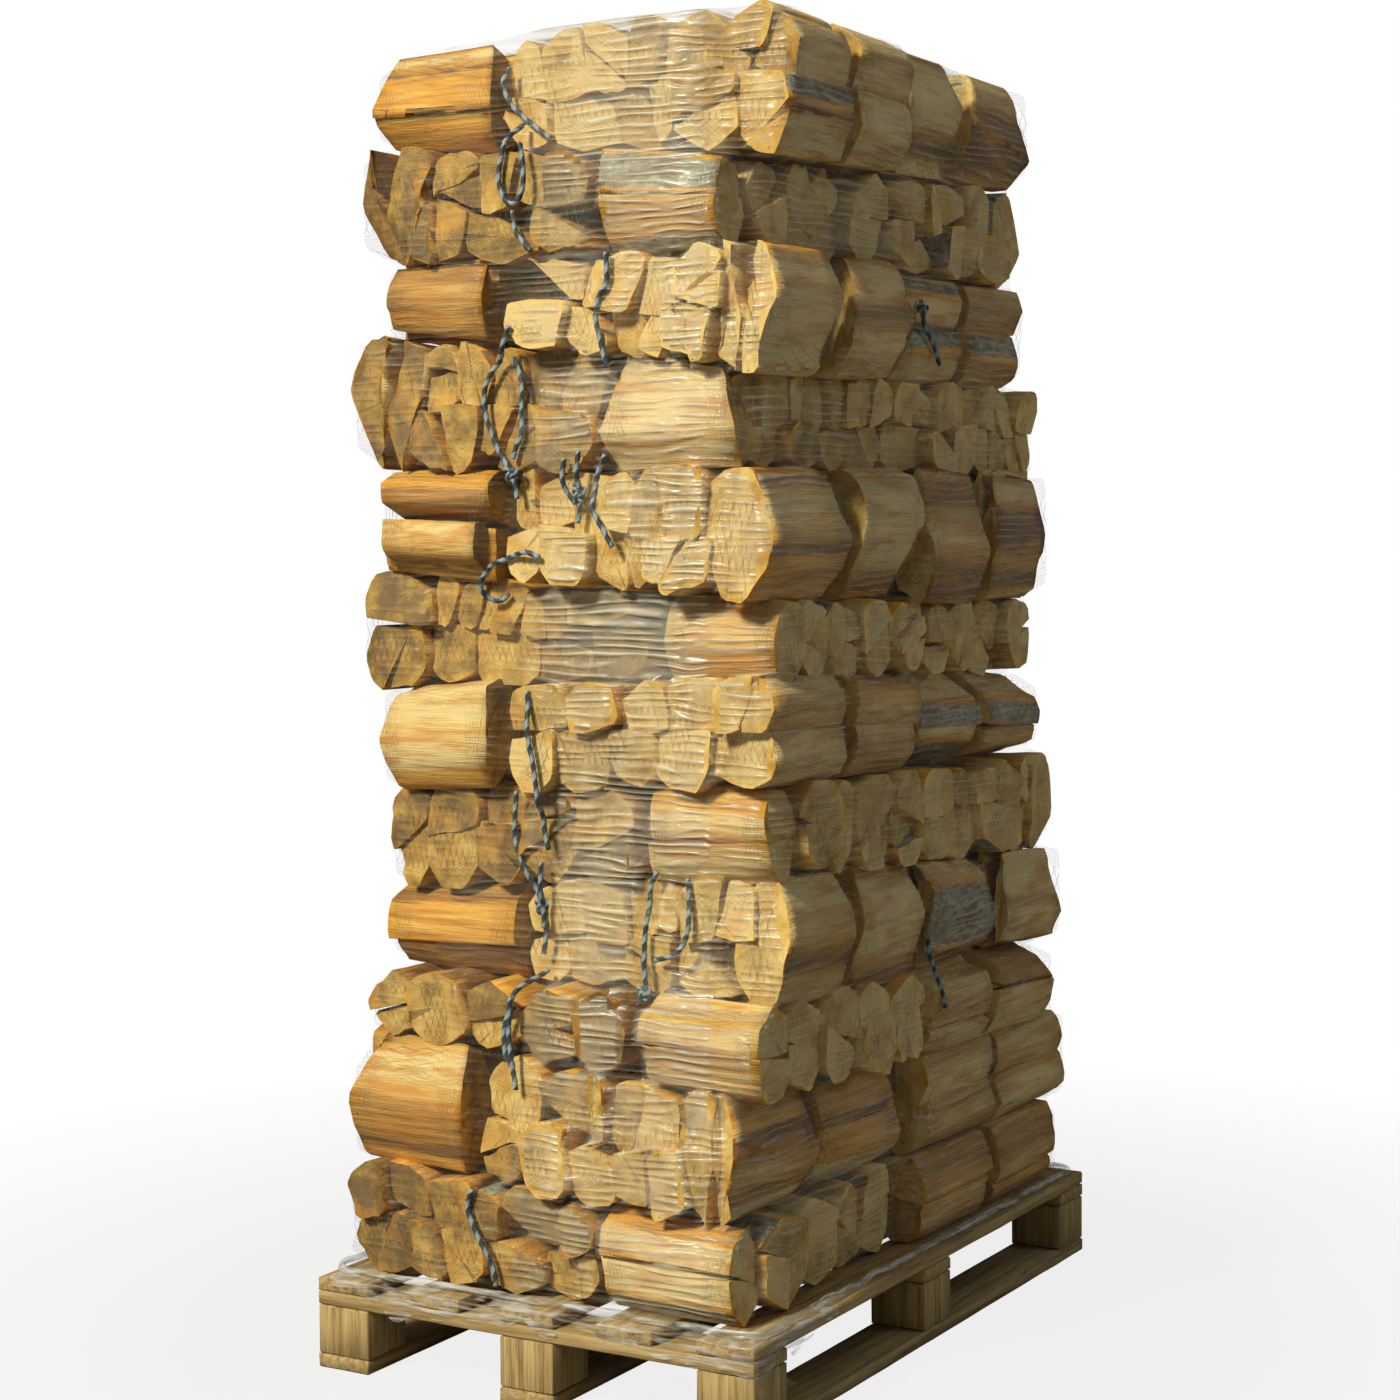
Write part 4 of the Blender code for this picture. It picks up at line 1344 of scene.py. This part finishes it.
# Film rolled and pulled into a rope: milky where its folds lie together, with hard glints
def gatheredFilm(name, clearness):
    made, tree, shader = newMaterial(name)
    place = add(tree, "TexCoord", out="Object")
    pulled = add(tree, "VectorMath", [place, (16, 16, 150)], operation="MULTIPLY")
    folds = add(tree, "TexNoise", {"Vector": pulled, "Scale": 1.0, "Detail": 2.0, "Distortion": 0.5})
    least, most = clearness
    milky = {"Value": folds, "From Min": 0.42, "From Max": 0.68, "To Min": least, "To Max": most}
    bump = add(tree, "Bump", {"Height": folds, "Strength": 1.0, "Distance": 4 * mm})
    feed(tree, shader, {"Base Color": ramp(tree, folds, foot["tones"]), "Normal": bump})
    feed(tree, shader, {"Roughness": 0.25, "IOR": 1.52, "Alpha": add(tree, "MapRange", milky)})
    return made


# Points a step apart along a flat line, the ways to the right of it there, and how far along they are
def evenly(line, step, closed):
    line = np.array(line)
    lengths = np.concatenate([[0], np.cumsum(np.linalg.norm(np.diff(line, axis=0), axis=1))])
    runs = np.linspace(0, lengths[-1], int(lengths[-1] / step), endpoint=not closed)
    at = np.column_stack([np.interp(runs, lengths, line[:, i]) for i in (0, 1)])
    ahead = np.gradient(at, axis=0)
    right = np.column_stack([ahead[:, 1], -ahead[:, 0]]) / np.hypot(*ahead.T)[:, None]
    return at, right, runs


def addFoot():
    low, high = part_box("film_foot")
    radius, corner, fold, sides = (foot[name] for name in ("radius", "corner", "fold", "sides"))
    x0, x1, y0, y1 = low.x + radius, high.x - radius, low.y + radius, high.y - radius
    line = []
    for x, y, quarter in ((x1, y1, 0), (x0, y1, 1), (x0, y0, 2), (x1, y0, 3)):
        centreX, centreY = x - math.copysign(corner, x), y - math.copysign(corner, y)
        for step in range(5):
            angle = (quarter + step / 4) * math.pi / 2
            line.append((centreX + corner * math.cos(angle), centreY + corner * math.sin(angle)))
    at, right, runs = evenly(line + line[:1], foot["step"], True)
    count = len(at)
    rng = np.random.default_rng(5)
    z = low.z + radius + np.maximum(0, aroundNoise(rng, count, 6) * foot["lift"])
    bumps = np.array([aroundNoise(rng, count, 3) for _ in range(sides)]).T
    points = []
    for i in range(count):
        for k in range(sides):
            angle = 2 * math.pi * k / sides
            ripple = 0.4 * math.cos(3 * angle + runs[i] * foot["wind"])
            reach = radius * foot["core"] + fold * (0.5 * bumps[i, k] + ripple)
            reach = min(reach, radius + 1.5 * mm)
            x, y = at[i] - right[i] * reach * math.cos(angle)
            points.append((x, y, max(low.z, z[i] + reach * math.sin(angle))))
    faces = [(a, d, c, b) for a, b, c, d in gridFaces(count, sides, rowsRound=True)]
    made = meshObject("film_rope", points, faces, gatheredFilm("polyethylene_film_gathered", (0.15, 0.75)))
    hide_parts("film_foot")
    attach(made, "root")


addFoot()

skirt = {
    "from": (-0.375, -0.35),  # along the front, and how far it goes back along the right side
    "corner": 16 * mm,
    "step": 8 * mm,
    "hangs": 26 * mm,  # below the top of the deck, on the whole
    "lobe": (0.79, 0.06, 30 * mm),  # it hangs lower this far along, over this width, by this much
    "wave": 4 * mm,
    "ragged": 9 * mm,  # how uneven its lower edge is
    "deep": (6 * mm, 75 * mm),  # the least and the most that it hangs
    # its rows in from the deck's edge, as (out, up), and the one it hangs down from
    "rows": [(-22 * mm, 4.5 * mm), (-12 * mm, 3 * mm), (-3 * mm, 2 * mm), (1 * mm, -1 * mm)],
    "hangsFrom": (2 * mm, -1 * mm),
    "lies": 27 * mm,  # how much of its width lies on the deck
    "clear": 1.5 * mm,
}


# The tail of the film, pulled out over the deck's front edge and round its corner
def addSkirt():
    boards = [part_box("deck_board_1"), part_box("deck_board_5")]
    right = max(box[1].x for box in boards)
    front, top = boards[0][0].y, boards[1][1].z
    clear, corner = skirt["clear"], skirt["corner"]
    middleX, middleY = right + clear - corner, front - clear + corner
    line = [(skirt["from"][0], front - clear), (middleX, front - clear)]
    for k in range(1, 5):
        angle = math.pi / 2 * k / 4
        line.append((middleX + corner * math.sin(angle), middleY - corner * math.cos(angle)))
    line.append((right + clear, skirt["from"][1]))
    at, outward, runs = evenly(line, skirt["step"], False)
    count = len(at)
    rng = np.random.default_rng(21)
    ragged = aroundNoise(rng, count, 8) * skirt["ragged"]
    place, width, lower = skirt["lobe"]
    lobe = lower * np.exp(-(((runs - place) / width) ** 2))
    ends = np.minimum(np.arange(count), np.arange(count)[::-1]) / 8
    deep = np.clip(skirt["hangs"] + ragged + lobe, *skirt["deep"]) * np.clip(ends, 0.25, 1)
    # in from the edge over the deck, then down in front of it
    profile = [(*row, 0) for row in skirt["rows"]]
    profile += [(*skirt["hangsFrom"], part) for part in (0.2, 0.4, 0.6, 0.8, 1.0)]
    waves = [aroundNoise(rng, count, 2) * skirt["wave"] * 0.4 for _ in profile]
    grid = []
    for (out, up, part), wave in zip(profile, waves):
        reach = np.full(count, out) + (wave * (0.4 + part) if part else 0)
        if out > 0:
            reach = np.maximum(reach, 0.5 * mm)
        lift = up - part * deep + (np.abs(wave) if part == 0 else 0)
        grid.append(np.column_stack([at + outward * reach[:, None], top + lift]))
    points = np.concatenate(grid)
    faces = [(a, d, c, b) for a, b, c, d in gridFaces(len(profile), count, False)]
    made = meshObject("film_tail", points, faces, gatheredFilm("polyethylene_film_tail", (0.02, 0.55)))
    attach(made, "root")


addSkirt()

pallet = {
    "board": 22 * mm,  # thickness of a skid's board
    "block": 100 * mm,
    "slack": 0.6 * mm,  # how far a block stands in from its solid
    "wear": 3 * mm,  # width of the worn edges
    "rough": 0.8 * mm,  # how far in a sawn face may lie
    "step": 60 * mm,
}


# A sawn piece that fills the box, with worn edges
def sawnPiece(name, low, high, finish, seed):
    rng = np.random.default_rng(seed)
    size, wear = np.array(high - low), pallet["wear"]
    lines = []
    for side in size:
        edge = min(wear, 0.3 * side)
        inner = np.linspace(0, side, max(1, int(round(side / pallet["step"]))) + 1)[1:-1]
        inner = [v for v in inner if edge * 1.5 < v < side - edge * 1.5]
        lines.append([0, edge, *inner, side - edge, side])
    numbers, faces = {}, []
    turns = (((0, 0), (0, 1), (1, 1), (1, 0)), ((0, 0), (1, 0), (1, 1), (0, 1)))
    for axis in (2, 1, 0):
        u, v = (other for other in (0, 1, 2) if other != axis)
        for i in range(len(lines[u]) - 1):
            for j in range(len(lines[v]) - 1):
                for far in (0, 1):
                    faces.append([])
                    for right, up in turns[far if axis != 1 else 1 - far]:
                        at = [far * (len(lines[axis]) - 1)] * 3
                        at[u], at[v] = i + right, j + up
                        faces[-1].append(numbers.setdefault(tuple(at), len(numbers)))
    points = np.array([[lines[a][at[a]] for a in (0, 1, 2)] for at in numbers])
    under, over = points <= 1e-9, points >= size - 1e-9
    worn = np.where((under | over).sum(axis=1) >= 2, wear * 0.42, 0.0) * rng.uniform(0.5, 1.5, len(points))
    toMiddle = np.where(under, 1.0, 0.0) - np.where(over, 1.0, 0.0)
    points = points + toMiddle * worn[:, None]
    points = points + toMiddle * rng.uniform(0, pallet["rough"], len(points))[:, None]
    return meshObject(name, points + np.array(low), faces, finish)


boardAlongY = roughPine("pine_deck_boards", "Y", 0.02)
boardAlongX = roughPine("pine_stringer_boards", "X", 0.0)
blockPine = roughPine("pine_blocks", "Z", -0.02)
skidPine = roughPine("pine_skid_boards", "Y", 0.08)


def addPallet():
    seed, half = 1, pallet["block"] / 2
    inner = half - pallet["slack"]
    for node in sorted(name for name in nodes if name.startswith(("skid", "stringer", "deck"))):
        low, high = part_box(node)
        seed += 1
        if node.startswith("deck"):
            name = node.replace("deck_board", "deck_plank")
            pieces = [(name, low, high, boardAlongY, "board_wood")]
        elif node.startswith("stringer"):
            name = node.replace("stringer", "cross_plank")
            pieces = [(name, low, high, boardAlongX, "board_wood")]
        else:
            top = Vector((high.x, high.y, low.z + pallet["board"]))
            pieces = [(node.replace("skid", "skid_plank"), low, top, skidPine, "skid_wood")]
            middles = (low.y + half, 0.5 * (low.y + high.y), high.y - half)
            for place, y in zip(("front", "middle", "back"), middles):
                blockLow = Vector((low.x + pallet["slack"], y - inner, top.z + 0.2 * mm))
                blockHigh = Vector((high.x - pallet["slack"], y + inner, high.z))
                name = node.replace("skid", "block") + "_" + place
                pieces.append((name, blockLow, blockHigh, blockPine, "skid_wood"))
        for name, pieceLow, pieceHigh, finish, slotName in pieces:
            seed += 1
            made = sawnPiece(name, pieceLow, pieceHigh, finish, seed)
            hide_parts(node)
            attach(made, "root")


addPallet()
print("pallet made")
